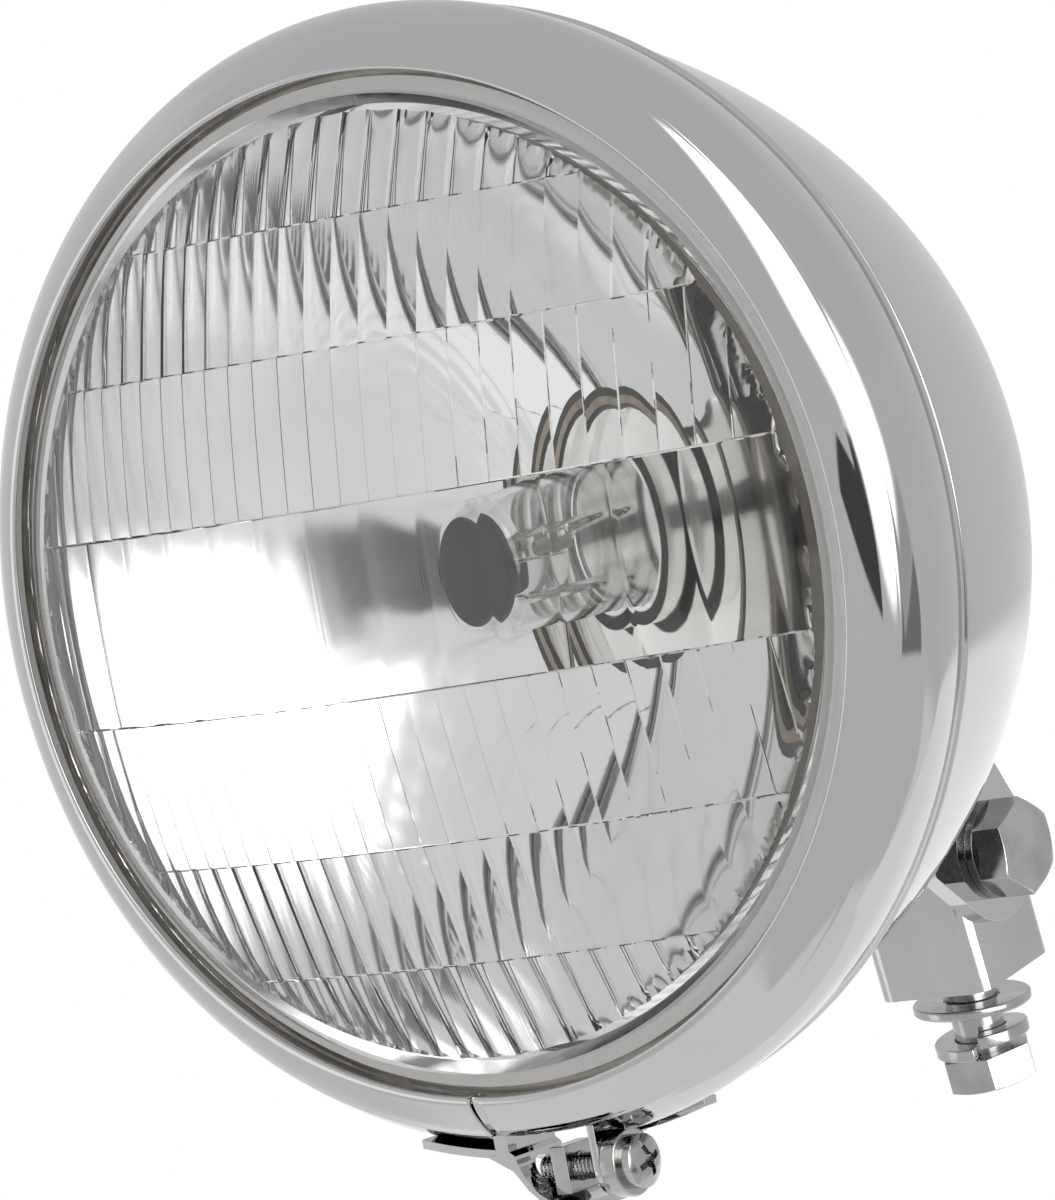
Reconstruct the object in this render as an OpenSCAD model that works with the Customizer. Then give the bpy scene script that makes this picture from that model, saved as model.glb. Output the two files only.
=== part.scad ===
// Round motorcycle headlight on a tilting bottom mount.
// The lamp looks along -Y, +X is the rider's left and +Z is up.
// The origin is the middle of the mount block's bottom face, on the axis of its bolt.

/* [Lamp position] */
// Height of the lamp's axis above the origin
axis_height = 77.2; // [72:0.2:90]
// Distance from the mount bolt's axis forward to the lip of the trim ring
lip_reach = 116; // [112:1:122]

/* [Bucket] */
// Radius of the bucket where its curve starts
bucket_r = 79; // [77:0.5:82]
// Depth of the bucket behind the lip plane
bucket_depth = 100; // [96:1:104]
// Thickness of the bucket's steel
bucket_wall = 1; // [0.8:0.1:1.5]
// Depth at which the bucket's front edge starts, inside the trim ring
bucket_front = 12; // [11.5:0.5:14]

/* [Trim ring] */
// Radius of the lip's opening
lip_r = 72; // [71.5:0.1:72.5]
// How far the ring's crown stands outside the lip
crown_rise = 8.45; // [8:0.05:9]
// Depth of the crown behind the lip
crown_depth = 10; // [9:0.5:11]
// Depth of the ring's back edge, the seam with the bucket
seam_depth = 18.5; // [17.5:0.5:20]
// Thickness of the ring's steel
ring_wall = 0.8; // [0.6:0.1:1]
// Depth of the lip's return that the light unit bears on
lip_return = 2.6; // [2:0.1:3]

/* [Ring clamp] */
// Width of the notch in the ring's band at six o'clock
notch_w = 19.2; // [19:0.1:21]
// Sideways place of the ring's split, from the centre line
split_x = -6; // [-7:0.5:-5]
// Width of the split in the lip
split_gap = 0.8; // [0.5:0.1:1.5]
// Sideways place of the left lug's inner face
lug_x = 9; // [8.5:0.1:9.2]
// Height of the clamp screw below the lamp's axis
clamp_drop = 83.8; // [83.7:0.1:84.4]
// Depth of the clamp screw behind the lip
clamp_depth = 9.5; // [9:0.5:11]
// Radius of the clamp screw's thread
clamp_r = 2; // [1.8:0.1:2.2]
// Radius of the clamp screw's pan head
pan_r = 3.8; // [3.4:0.1:3.9]
// Height of the pan head
pan_h = 2.9; // [2.4:0.1:3.2]
// Radius of the collar under the screw's head
collar_r = 4.9; // [4.4:0.1:5]
// Height of the collar
collar_h = 2.6; // [2:0.1:3]
// Radius of the left lug's rounded end
lug_end_r = 4.6; // [4.2:0.1:5]
// Thickness of the clamp lugs
lug_t = 1.2; // [1:0.1:1.6]
// Width of the clamp lugs, front to back
lug_w = 11; // [10:0.5:12]
// Side of the clamp's square nut
nut_side = 6.8; // [6.4:0.1:6.9]

/* [Lens] */
// Radius of the glass dome's curve
dome_curve = 142.6; // [135:0.2:150]
// How far the dome stands in front of the lip plane
dome_rise = 17.3; // [16:0.1:18]
// Radius of the dome at its foot
dome_r = 68.5; // [67.5:0.1:69]
// Mean thickness of the glass
glass_t = 3.6; // [3:0.1:4.5]
// Radius of the light unit's rim
unit_r = 73; // [72.8:0.1:73.4]
// Thickness of the glass rim
rim_t = 3.2; // [3:0.1:4]
// Spacing of the flutes on the inner face
flute_pitch = 4.7; // [4:0.1:6]
// Spacing of the wide flutes in the middle band
flute_wide = 9.4; // [8:0.1:11]
// Radius of one flute at the top and bottom edge, where the flutes are strong
flute_strong_r = 5.5; // [4:0.1:8]
// Radius of one flute in the band next to the edge
flute_medium_r = 8; // [6:0.1:12]
// Radius of one flute in the two bands beside the middle
flute_faint_r = 60; // [40:1:80]
// Radius of one wide flute
flute_wide_r = 42; // [30:1:60]
// Half heights of the bands that the flutes are set in
band_inner = 13.2; // [12:0.1:15]
band_middle = 34.3; // [30:0.1:38]
band_outer = 51.6; // [48:0.1:56]

/* [Reflector] */
// Focal length of the reflector
focal = 23; // [22:0.5:25]
// Thickness of the reflector's steel
reflector_wall = 0.8; // [0.6:0.1:1]
// Thickness of the sealant between the glass and the reflector
sealant_t = 1; // [0.6:0.1:1.4]
// Radius of the bulb's hole
bulb_hole_r = 19; // [18:0.5:20]
// Length of the bulb holder's neck
neck_l = 5.5; // [4.5:0.5:7]

/* [Bulb] */
// Radius of the bulb's glass
bulb_r = 8.3; // [8:0.1:9]
// Thickness of the bulb's glass
bulb_wall = 0.9; // [0.6:0.1:1.2]
// How far the bulb's glass reaches in front of the base flange
bulb_l = 45; // [42:0.5:46]
// Radius of the base flange
flange_r = 20; // [19.5:0.1:21]
// Thickness of the base flange
flange_t = 1.2; // [1:0.1:1.4]
// Radius of the insulating body behind the flange
insulator_r = 15; // [13:0.5:16]
// Length of the insulating body
insulator_l = 11; // [9:0.5:13]
// Radius of a filament's coil
filament_r = 0.8; // [0.6:0.1:1]

/* [Wire outlet] */
// Radius of the hole in the bucket for the grommet
outlet_r = 7.5; // [7:0.1:8]
// Radius of the grommet's bore
cable_r = 4; // [3:0.1:5]
// How far the grommet's lips reach past the hole
skirt = 2.5; // [2:0.1:3]

/* [Mount] */
// How far the mount block leans back below a level lamp
lean = 9.3; // [0:0.1:12]
// Side of the square mount block
block_w = 20; // [19:0.5:22]
// Radius on the block's upright edges
block_edge = 3; // [1:0.5:4]
// Height of the pivot above the block's bottom face
pivot_up = 20.4; // [19:0.1:22]
// How far the pivot stands in front of the bolt's axis
pivot_fwd = 3.6; // [2:0.1:3.8]
// Radius of the pivot bolt and the mount bolt
bolt_r = 3.95; // [3.9:0.01:4]
// Radial clearance of the pivot bolt in the block
pivot_clear = 0.06; // [0.03:0.01:0.1]
// Gap between the block and each bracket ear
ear_gap = 0.3; // [0.3:0.05:0.5]
// Thickness of the bracket
ear_t = 3.2; // [2.5:0.1:4]
// Radius of the ears' rounded ends
ear_r = 10.8; // [10:0.1:12]

/* [Fasteners] */
// Width of the hexagons across their flats
hex_af = 13; // [12.5:0.1:13]
// Height of a bolt head
head_h = 5.3; // [4.8:0.1:5.6]
// Height of the pivot nut
nut_h = 6.5; // [6:0.1:7]
// Outer radius of the flat washer
flat_r = 9.1; // [8:0.1:9.5]
// Thickness of the flat washer
flat_t = 1.5; // [1.2:0.1:1.8]
// Tilt of the loose flat washer
flat_tilt = 5.6; // [0:0.2:6]
// Outer radius of the spring washers
spring_r = 7.4; // [7:0.1:7.6]
// Thickness of the mount bolt's spring washer
spring_t = 2; // [1.6:0.1:2.2]
// Height by which that washer stays sprung open
spring_rise = 1.6; // [0.6:0.1:2]
// Thickness of the pivot's spring washers, pressed flat
washer_t = 1.4; // [1.2:0.1:1.6]
// Distance from the block's face to the mount bolt's head
bolt_out = 11.7; // [10.5:0.1:14]

/* [Hidden] */
$fn = 96;

fit_gap = 0.05;
hex_r = hex_af / 2 / cos(30);
hem_r = bucket_r * sqrt(1 - pow(seam_depth / bucket_depth, 2));
lens_front = lip_return + fit_gap;
rim_back = lens_front + rim_t;
seal_back = rim_back + sealant_t;
dome_centre = dome_curve - dome_rise;
inner_curve = dome_curve - glass_t;
mirror_r = dome_r - 1;
mirror_back = seal_back + mirror_r * mirror_r / 4 / focal;
neck_front = mirror_back - bulb_hole_r * bulb_hole_r / 4 / focal;
neck_back = neck_front + neck_l;
base_back = neck_back + flange_t;
insulator_back = base_back + insulator_l;
bulb_tip = base_back - bulb_l;
inner_depth = (bucket_depth - bucket_wall)
    * sqrt(1 - pow((outlet_r + skirt) / (bucket_r - bucket_wall), 2));
ear_in = block_w / 2 + ear_gap;
ear_out = ear_in + ear_t;
crown_r = lip_r + crown_rise;
lug_r = crown_r + fit_gap;
lug_front = clamp_depth - lug_w / 2;

// Places children on the lamp's axis: x is the rider's left, y is down, z is the depth.
module on_axis() {
    translate([0, -lip_reach, axis_height])
        rotate([-90, 0, 0])
            children();
}

// Places children in the mount block's leaning frame, whose front is -y.
module on_block() {
    rotate([lean, 0, 0])
        children();
}

// Places children at the pivot, with z along the pivot bolt to the rider's left.
module on_pivot() {
    on_block()
        translate([0, -pivot_fwd, pivot_up])
            rotate([-lean, 0, 0])
                rotate([0, 90, 0])
                    children();
}

// Hexagon prism with its rims chamfered round, as turned from bar.
module hexagon(h, chamfer_low, chamfer_high) {
    intersection() {
        cylinder(r = hex_r, h = h, $fn = 6);
        rotate_extrude()
            polygon([
                [0, 0],
                [chamfer_low ? hex_af / 2 - 0.3 : hex_r + 1, 0],
                [hex_r + 1, chamfer_low ? 0.9 : 0],
                [hex_r + 1, chamfer_high ? h - 0.9 : h],
                [chamfer_high ? hex_af / 2 - 0.3 : hex_r + 1, h],
                [0, h]
            ]);
    }
}

// Points of the bucket's section between two angles from the lip plane.
function bowl_arc(radius, depth, from, to, steps) = [
    for (i = [0:steps])
        let (a = from + (to - from) * i / steps)
            [radius * cos(a), depth * sin(a)]
];

// Solid bowl of the bucket's outer form, grown by a skin.
module bowl(skin) {
    rotate_extrude()
        polygon(concat([[0, 0]], bowl_arc(bucket_r + skin, bucket_depth + skin, 0, 90, 44)));
}

module bucket() {
    hem_angle = asin(seam_depth / bucket_depth);
    in_r = bucket_r - bucket_wall;
    in_depth = bucket_depth - bucket_wall;
    start = asin(seam_depth / in_depth);
    color("silver")
        on_axis()
            difference() {
                rotate_extrude()
                    polygon(concat(
                        [[hem_r, bucket_front]],
                        bowl_arc(bucket_r, bucket_depth, hem_angle, 90, 40),
                        [[0, in_depth]],
                        [for (i = [1:40])
                            let (a = 90 + (start - 90) * i / 40)
                                [in_r * cos(a), in_depth * sin(a)]],
                        [[in_r * cos(start), bucket_front]]
                    ));
                translate([0, 0, in_depth - 6])
                    cylinder(r = outlet_r, h = 12);
            }
}

// Points of the ring's front roll, a blunt quarter curve from the lip to the crown.
function roll(rise, depth, back, steps) = [
    for (i = [0:steps])
        let (t = 90 * i / steps)
            [lip_r + rise * pow(sin(t), 1.22), back - depth * pow(cos(t), 1.22)]
];

// Points of the ring's side from the crown to the seam.
function ring_side(top_r, end_r, steps) = [
    for (i = [1:steps])
        let (t = i / steps)
            [top_r - (top_r - end_r) * pow(t, 1.7),
             crown_depth + (seam_depth - crown_depth) * t]
];

function reversed(v) = [for (i = [len(v) - 1:-1:0]) v[i]];

module ring_section() {
    outer = concat(
        roll(crown_rise, crown_depth, crown_depth, 18),
        ring_side(crown_r, hem_r + fit_gap + ring_wall, 10)
    );
    inner = concat(
        roll(crown_rise - ring_wall, crown_depth - ring_wall, crown_depth, 18),
        ring_side(crown_r - ring_wall, hem_r + fit_gap, 10)
    );
    polygon(concat(
        [[lip_r - 0.3, 0.35]],
        outer,
        reversed(inner),
        [[lip_r + 0.5, ring_wall + 0.2], [lip_r + 0.5, lip_return], [lip_r - 0.3, lip_return]]
    ));
}

module trim_ring() {
    color("gainsboro")
        on_axis()
            difference() {
                rotate_extrude()
                    ring_section();
                translate([split_x - split_gap, 0, -1])
                    cube([split_gap, crown_r + 2, seam_depth + 2]);
                translate([split_x - 0.1, lip_r - 8, lug_front - fit_gap])
                    cube([notch_w, 20, seam_depth]);
            }
}

// Saddle foot of a clamp lug: an arc of strip that is welded under the ring's band.
module lug_foot(from_x, to_x, inner_r, from_depth, width) {
    intersection() {
        translate([0, 0, from_depth])
            difference() {
                cylinder(r = inner_r + lug_t, h = width);
                translate([0, 0, -1])
                    cylinder(r = inner_r, h = width + 2);
            }
        translate([from_x, 60, 0])
            cube([to_x - from_x, 40, 40]);
    }
}

// The right lug is a tongue that slants from its foot and curls under the screw.
module ring_lug_right() {
    foot_y = sqrt(lug_r * lug_r - split_x * split_x);
    root_x = split_x - split_gap + 2 * fit_gap;
    curl_r = 9;
    color("silver")
        on_axis()
            difference() {
                union() {
                    lug_foot(split_x - 15, split_x - split_gap, lug_r, clamp_depth - 3.5, 7);
                    translate([0, 0, lug_front])
                        linear_extrude(lug_w)
                            difference() {
                                polygon([
                                    [split_x - split_gap - 1.6, foot_y + 0.35],
                                    [root_x, foot_y + 0.35],
                                    [root_x, foot_y - 2.5],
                                    [split_x + 0.6, foot_y - 2.5],
                                    [3, clamp_drop - 5],
                                    [9, clamp_drop + 1.4],
                                    [8.6, clamp_drop + 5.4],
                                    [4.4, clamp_drop + 5.9],
                                    [0.6, clamp_drop + 4.6],
                                    [-2.2, clamp_drop + 2],
                                    [-4.2, clamp_drop - 0.8]
                                ]);
                                translate([5.4, clamp_drop - 4.3])
                                    circle(r = curl_r);
                                polygon([[-4.4, 70], [-4.4, clamp_drop - 3.6],
                                         [5.4, clamp_drop + 4], [20, clamp_drop], [20, 70]]);
                            }
                }
                translate([-20, clamp_drop, clamp_depth])
                    rotate([0, 90, 0])
                        cylinder(r = clamp_r + 0.1, h = 40);
            }
}

// The left lug is a flat plate with a rounded end, square to the screw. Its foot lies
// behind the screw's head.
module ring_lug_left() {
    foot_front = clamp_depth + collar_r - 0.2;
    foot_w = 3;
    foot_r = crown_r - 0.5;
    top_y = sqrt(foot_r * foot_r - lug_x * lug_x);
    color("silver")
        on_axis()
            difference() {
                union() {
                    lug_foot(lug_x + lug_t / 2, lug_x + 14, foot_r, foot_front, foot_w);
                    translate([lug_x, 0, 0])
                        rotate([90, 0, 90])
                            linear_extrude(lug_t) {
                                translate([clamp_drop, clamp_depth])
                                    circle(r = lug_end_r);
                                translate([top_y - 2, clamp_depth - lug_end_r])
                                    square([clamp_drop - top_y + 2, 2 * lug_end_r]);
                                translate([top_y - 2, clamp_depth])
                                    square([3.4, foot_front + foot_w - clamp_depth]);
                            }
                }
                translate([-20, clamp_drop, clamp_depth])
                    rotate([0, 90, 0])
                        cylinder(r = clamp_r + 0.2, h = 60);
            }
}

// Places children on the clamp screw, with z to the rider's left.
module on_clamp(x) {
    on_axis()
        translate([x, clamp_drop, clamp_depth])
            rotate([0, 90, 0])
                children();
}

module clamp_collar() {
    color("gray")
        on_clamp(lug_x + lug_t)
            difference() {
                cylinder(r = collar_r, h = collar_h);
                translate([0, 0, -1])
                    cylinder(r = clamp_r + 0.2, h = 6);
            }
}

module clamp_screw() {
    seat = lug_x + lug_t + collar_h;
    color("lightgray") {
        on_clamp(seat)
            difference() {
                intersection() {
                    cylinder(r = pan_r, h = pan_h);
                    translate([0, 0, pan_h - 7])
                        sphere(r = 7);
                }
                translate([0, 0, pan_h - 1.6])
                    cross_recess();
            }
        on_clamp(-2.6)
            cylinder(r = clamp_r, h = seat + 2.6);
    }
}

// Cross recess of the clamp screw.
module cross_recess() {
    for (turn = [0, 90])
        rotate([0, 0, turn + 20])
            translate([-2.3, -0.45, 0])
                cube([4.6, 0.9, 5]);
    cylinder(r1 = 0.7, r2 = 1.2, h = 2);
}

module clamp_nut() {
    color("darkgray")
        on_clamp(1)
            difference() {
                translate([-nut_side / 2, -nut_side / 2, 0])
                    cube([nut_side, nut_side, 2.6]);
                translate([0, 0, -1])
                    cylinder(r = clamp_r + 0.02, h = 5);
            }
}

// Section of the space inside the glass, with flutes cut into its edge. A flute's arc ends on
// the dome's curve at both sides, so that a sharp ridge is left between two flutes.
module flute_section(section_r, flute_r, pitch) {
    count = floor(dome_r / pitch);
    circle(r = section_r - fit_gap, $fn = 180);
    for (i = [-count:count])
        let (
            from = asin((i - 0.5) * pitch / section_r),
            to = asin((i + 0.5) * pitch / section_r),
            half = section_r * sin((to - from) / 2),
            centre_r = section_r * cos((to - from) / 2) - sqrt(flute_r * flute_r - half * half)
        )
            rotate([0, 0, (from + to) / 2])
                translate([0, -centre_r])
                    circle(r = flute_r, $fn = 64);
}

// Cutter for one band: the fluted section, drawn along the tangent of the dome there.
module flute_band(low, high, flute_r, pitch) {
    slope = asin((low + high) / 2 / inner_curve);
    intersection() {
        translate([-100, -high, -40])
            cube([200, high - low, 100]);
        translate([0, 0, dome_centre])
            rotate([90 - slope, 0, 0])
                translate([0, 0, -60])
                    linear_extrude(120)
                        flute_section(inner_curve, flute_r, pitch);
    }
}

module lens() {
    foot = dome_centre - sqrt(dome_curve * dome_curve - dome_r * dome_r);
    color("aliceblue", 0.5)
        on_axis()
            difference() {
                union() {
                    intersection() {
                        translate([0, 0, dome_centre])
                            sphere(r = dome_curve, $fn = 200);
                        translate([0, 0, -30])
                            cylinder(r = dome_r, h = 30 + lens_front + 0.5);
                    }
                    translate([0, 0, lens_front])
                        cylinder(r = unit_r - 0.4, h = rim_t);
                }
                intersection() {
                    translate([0, 0, -30])
                        cylinder(r = dome_r - 3, h = 60);
                    union() {
                        flute_band(-band_inner, band_inner, flute_wide_r, flute_wide);
                        flute_band(band_inner, band_middle, flute_faint_r, flute_pitch);
                        flute_band(-band_middle, -band_inner, flute_faint_r, flute_pitch);
                        flute_band(band_middle, band_outer, flute_medium_r, flute_pitch);
                        flute_band(-band_outer, -band_middle, flute_medium_r, flute_pitch);
                        flute_band(band_outer, dome_r, flute_strong_r, flute_pitch);
                        flute_band(-dome_r, -band_outer, flute_strong_r, flute_pitch);
                    }
                }
            }
}

module rim_sealant() {
    color("dimgray")
        on_axis()
            translate([0, 0, rim_back])
                difference() {
                    cylinder(r = unit_r - 0.4, h = sealant_t);
                    translate([0, 0, -1])
                        cylinder(r = dome_r + 0.4, h = 4);
                }
}

// Points of the mirror's section from the rim to the bulb's hole.
function mirror_arc(skin, steps) = [
    for (i = [0:steps])
        let (r = mirror_r + (bulb_hole_r - mirror_r) * i / steps)
            [r + skin * 2 * focal / sqrt(4 * focal * focal + r * r),
             mirror_back - r * r / 4 / focal
                 + skin * r / sqrt(4 * focal * focal + r * r)]
];

module reflector() {
    back = mirror_arc(reflector_wall, 30);
    color("lightgray")
        on_axis()
            rotate_extrude()
                polygon(concat(
                    [[unit_r, seal_back], [mirror_r, seal_back]],
                    mirror_arc(0, 30),
                    [[bulb_hole_r, neck_back], [bulb_hole_r + 2, neck_back],
                     [bulb_hole_r + 2, neck_back - 1],
                     [bulb_hole_r + reflector_wall, neck_back - 1]],
                    reversed([for (p = back) if (p[0] > bulb_hole_r + reflector_wall + 0.5
                        && p[0] < mirror_r + 0.3) p]),
                    [[mirror_r + 0.9, seal_back + reflector_wall + 0.6],
                     [mirror_r + 1.6, seal_back + reflector_wall],
                     [unit_r, seal_back + reflector_wall]]
                ));
}

// Six bent spring clips press the light unit forward against the lip's return.
module unit_clips() {
    clip_w = 9;
    seat = seal_back + reflector_wall + fit_gap;
    wall_r = crown_r - ring_wall - 0.7;
    color("slategray")
        on_axis()
            for (turn = [0:60:300])
                rotate([0, 0, turn])
                    translate([0, clip_w / 2, 0])
                        rotate([90, 0, 0])
                            linear_extrude(clip_w)
                                polygon([
                                    [unit_r - 2.5, seat], [unit_r - 1.7, seat],
                                    [unit_r + 0.3, seat + 2.4], [wall_r - 3.4, seat + 2.4],
                                    [wall_r - 0.5, seat - 0.4], [wall_r - 0.2, seat - 0.4],
                                    [wall_r - 0.2, seat + 1], [wall_r - 3, seat + 3],
                                    [unit_r, seat + 3], [unit_r - 2.2, seat + 0.7]
                                ]);
}

// Places children on the lamp's axis at a depth.
module at_depth(depth) {
    on_axis()
        translate([0, 0, depth])
            children();
}

// Section of the bulb's glass: a domed tube.
module bulb_section(skin, back) {
    r = bulb_r - skin;
    nose = 3;
    polygon(concat(
        [[0, back]],
        [[0, bulb_tip + skin]],
        [for (a = [0:15:90])
            [r - nose + nose * sin(a), bulb_tip + skin + nose - nose * cos(a)]],
        [[r, back]]
    ));
}

module bulb_glass() {
    color("whitesmoke", 0.4)
        on_axis()
            difference() {
                rotate_extrude()
                    bulb_section(0, base_back - 10);
                rotate_extrude()
                    bulb_section(bulb_wall, base_back - 12);
            }
}

module main_filament() {
    color("darkgoldenrod")
        on_axis()
            translate([0, -0.6, bulb_tip + 17])
                cylinder(r = filament_r, h = 5);
}

module dip_filament() {
    color("darkgoldenrod")
        on_axis()
            translate([0, -1.4, bulb_tip + 9])
                cylinder(r = filament_r, h = 5);
}

// Small cup under the dip filament, open at the top.
module dip_shield() {
    color("dimgray")
        on_axis()
            translate([0, 0, bulb_tip + 8])
                difference() {
                    cylinder(r = 4.2, h = 7.4);
                    translate([0, 0, 0.5])
                        cylinder(r = 3.8, h = 6.4);
                    translate([-6, -6, -1])
                        cube([12, 6.2, 10]);
                }
}

// Stiff wires from the base to the filaments and the shield.
module filament_supports() {
    foot = base_back - 12;
    color("darkgray")
        on_axis() {
            translate([0, 4.8, bulb_tip + 8.5])
                cylinder(r = 0.6, h = foot - bulb_tip - 8.5);
            translate([-3.2, -2.2, bulb_tip + 9.5])
                cylinder(r = 0.5, h = foot - bulb_tip - 9.5);
            translate([3.2, -2.2, bulb_tip + 17.5])
                cylinder(r = 0.5, h = foot - bulb_tip - 17.5);
            translate([-3.2, -2.2, bulb_tip + 9.5])
                wire_to([0, -1.4, bulb_tip + 9.5] - [-3.2, -2.2, bulb_tip + 9.5]);
            translate([3.2, -2.2, bulb_tip + 21.5])
                wire_to([0, -0.6, bulb_tip + 21.5] - [3.2, -2.2, bulb_tip + 21.5]);
        }
}

// A short wire from the origin towards a point, ending clear of the filament.
module wire_to(v) {
    reach = norm(v) - filament_r - 0.02;
    rotate([0, acos(v[2] / norm(v)), atan2(v[1], v[0])])
        cylinder(r = 0.35, h = reach);
}

module bulb_base() {
    color("silver")
        on_axis()
            difference() {
                union() {
                    translate([0, 0, neck_back + fit_gap])
                        cylinder(r = flange_r, h = flange_t - fit_gap);
                    translate([0, 0, base_back - 11])
                        cylinder(r = bulb_r + 2.2, h = 11);
                    for (turn = [90, 200, 340])
                        rotate([0, 0, turn])
                            translate([flange_r - 2, -4, neck_back + fit_gap])
                                cube([3, 8, flange_t - fit_gap]);
                }
                translate([0, 0, base_back - 12])
                    cylinder(r = bulb_r + 0.05, h = 10);
            }
}

module bulb_insulator() {
    color("dimgray")
        at_depth(base_back)
            difference() {
                cylinder(r = insulator_r, h = insulator_l);
                terminal_slots(fit_gap, -1);
            }
}

// The three blade places: one across the top and one at each side.
module terminal_slots(grow, start) {
    for (turn = [0, 120, 240])
        rotate([0, 0, turn])
            translate([-4 - grow, -8.6 - grow, insulator_l - 5 - grow])
                cube([8 + 2 * grow, 0.8 + 2 * grow, 14]);
}

module bulb_terminals() {
    color("goldenrod")
        at_depth(base_back)
            terminal_slots(0, 0);
}

// Wire spring that holds the bulb's flange to the holder.
module bulb_spring() {
    wire = 0.7;
    ring_r = insulator_r + 1.6;
    color("gray")
        at_depth(base_back + wire + fit_gap)
            union() {
                rotate([0, 0, -60])
                    rotate_extrude(angle = 300)
                        translate([ring_r, 0])
                            circle(r = wire, $fn = 24);
                for (side = [-1, 1])
                    rotate([0, 0, side * 60])
                        translate([ring_r, 0, 0])
                            rotate([0, 90, 0])
                                cylinder(r = wire, h = 5, $fn = 24);
            }
}

// Rubber boot over the back of the bulb, stretched round the holder's neck.
module bulb_boot() {
    lip = bulb_hole_r + 2.1;
    color("#202020")
        on_axis()
            rotate_extrude()
                polygon([
                    [lip + 0.2, neck_front + 1.5], [lip + 2.4, neck_front + 1.5],
                    [lip + 2.4, base_back + 3], [insulator_r + 4, base_back + 7],
                    [insulator_r + 2.2, insulator_back + 1.5],
                    [insulator_r + fit_gap, insulator_back + 1.5],
                    [insulator_r + fit_gap, base_back + 6.2],
                    [insulator_r + 2.6, base_back + 4.8], [lip + 0.6, base_back + 1.8],
                    [lip + 0.6, neck_back - 2], [lip + 0.2, neck_back - 2]
                ]);
}

module wire_grommet() {
    outer_face = bucket_depth + fit_gap;
    color("#252525")
        on_axis()
            rotate_extrude()
                polygon([
                    [cable_r, inner_depth - 2], [outlet_r + skirt, inner_depth - 2],
                    [outlet_r + skirt, inner_depth - fit_gap],
                    [outlet_r - fit_gap, inner_depth - fit_gap],
                    [outlet_r - fit_gap, outer_face],
                    [outlet_r + skirt - 0.6, outer_face],
                    [outlet_r + skirt - 0.6, outer_face + 1],
                    [outlet_r, outer_face + 2.4], [cable_r, outer_face + 2.4]
                ]);
}

// Side view of a bracket ear: a tapering plate from the bucket to the rounded end.
module ear_outline() {
    top_dir = [0.533, 0.846];
    low_dir = [0.794, 0.608];
    top_foot = ear_r * [-top_dir[1], top_dir[0]];
    low_foot = ear_r * [low_dir[1], -low_dir[0]];
    circle(r = ear_r);
    polygon([
        [0, 0], top_foot, top_foot + 46 * top_dir, low_foot + 46 * low_dir, low_foot
    ]);
}

// Places a side view at the pivot: its x is forward, its y is up, its z to the rider's left.
module side_view() {
    on_block()
        translate([0, -pivot_fwd, pivot_up])
            rotate([-lean, 0, 0])
                rotate([90, 0, -90])
                    mirror([0, 0, 1])
                        children();
}

// Folded bracket: two ears joined by a web that follows the bucket.
module mount_bracket() {
    color("silver")
        difference() {
            union() {
                for (x = [-ear_out, ear_in])
                    side_view()
                        translate([0, 0, x])
                            linear_extrude(ear_t)
                                ear_outline();
                intersection() {
                    side_view()
                        translate([0, 0, -ear_out])
                            linear_extrude(2 * ear_out)
                                ear_outline();
                    on_axis()
                        bowl(2.5);
                }
            }
            on_axis()
                bowl(fit_gap);
            on_pivot()
                translate([0, 0, -50])
                    cylinder(r = bolt_r + fit_gap, h = 100);
        }
}

module pivot_bolt() {
    seat = ear_out + washer_t;
    tail = ear_out + washer_t + nut_h + 2;
    color("lightgray")
        on_pivot() {
            translate([0, 0, seat])
                hexagon(head_h, false, true);
            translate([0, 0, -tail])
                cylinder(r = bolt_r, h = tail + seat);
        }
}

// The spring washers under the pivot bolt's head and under its nut.
module pivot_washers() {
    color("dimgray")
        on_pivot()
            for (z = [ear_out, -ear_out - washer_t])
                translate([0, 0, z])
                    difference() {
                        cylinder(r = spring_r, h = washer_t);
                        translate([0, 0, -1])
                            cylinder(r = bolt_r + 0.15, h = 4);
                        rotate([0, 0, 25])
                            translate([0, -0.4, -1])
                                cube([20, 0.8, 4]);
                    }
}

module pivot_nut() {
    color("lightgray")
        on_pivot()
            translate([0, 0, -ear_out - washer_t - nut_h])
                difference() {
                    hexagon(nut_h, true, false);
                    translate([0, 0, -1])
                        cylinder(r = bolt_r + 0.02, h = 10);
                }
}

// Side view of the block: a square foot with a rounded head about the pivot.
module block_outline() {
    half = block_w / 2;
    head_r = half - pivot_fwd;
    knee = [-half, pivot_up - 8];
    to_head = [pivot_fwd, pivot_up] - knee;
    reach = norm(to_head);
    bearing = atan2(to_head[1], to_head[0]) + asin(head_r / reach);
    tangent = knee + sqrt(reach * reach - head_r * head_r) * [cos(bearing), sin(bearing)];
    translate([pivot_fwd, pivot_up])
        circle(r = head_r);
    polygon([
        [-half, 0], [half, 0], [half, pivot_up], [pivot_fwd, pivot_up], tangent, knee
    ]);
}

// Plan of the block: a square with rounded corners.
module block_plan() {
    reach = block_w / 2 - block_edge;
    for (x = [-reach, reach], y = [-reach, reach])
        translate([x, y])
            circle(r = block_edge);
    square([block_w, 2 * reach], center = true);
    square([2 * reach, block_w], center = true);
}

module mount_block() {
    color("darkgray")
        on_block()
            difference() {
                intersection() {
                    linear_extrude(pivot_up + block_w)
                        block_plan();
                    translate([-block_w / 2, 0, 0])
                        rotate([90, 0, 90])
                            linear_extrude(block_w)
                                mirror([1, 0])
                                    block_outline();
                }
                translate([-50, -pivot_fwd, pivot_up])
                    rotate([0, 90, 0])
                        cylinder(r = bolt_r + pivot_clear, h = 100);
                translate([0, 0, -1])
                    cylinder(r = bolt_r + 0.03, h = pivot_up - 7);
            }
}

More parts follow.
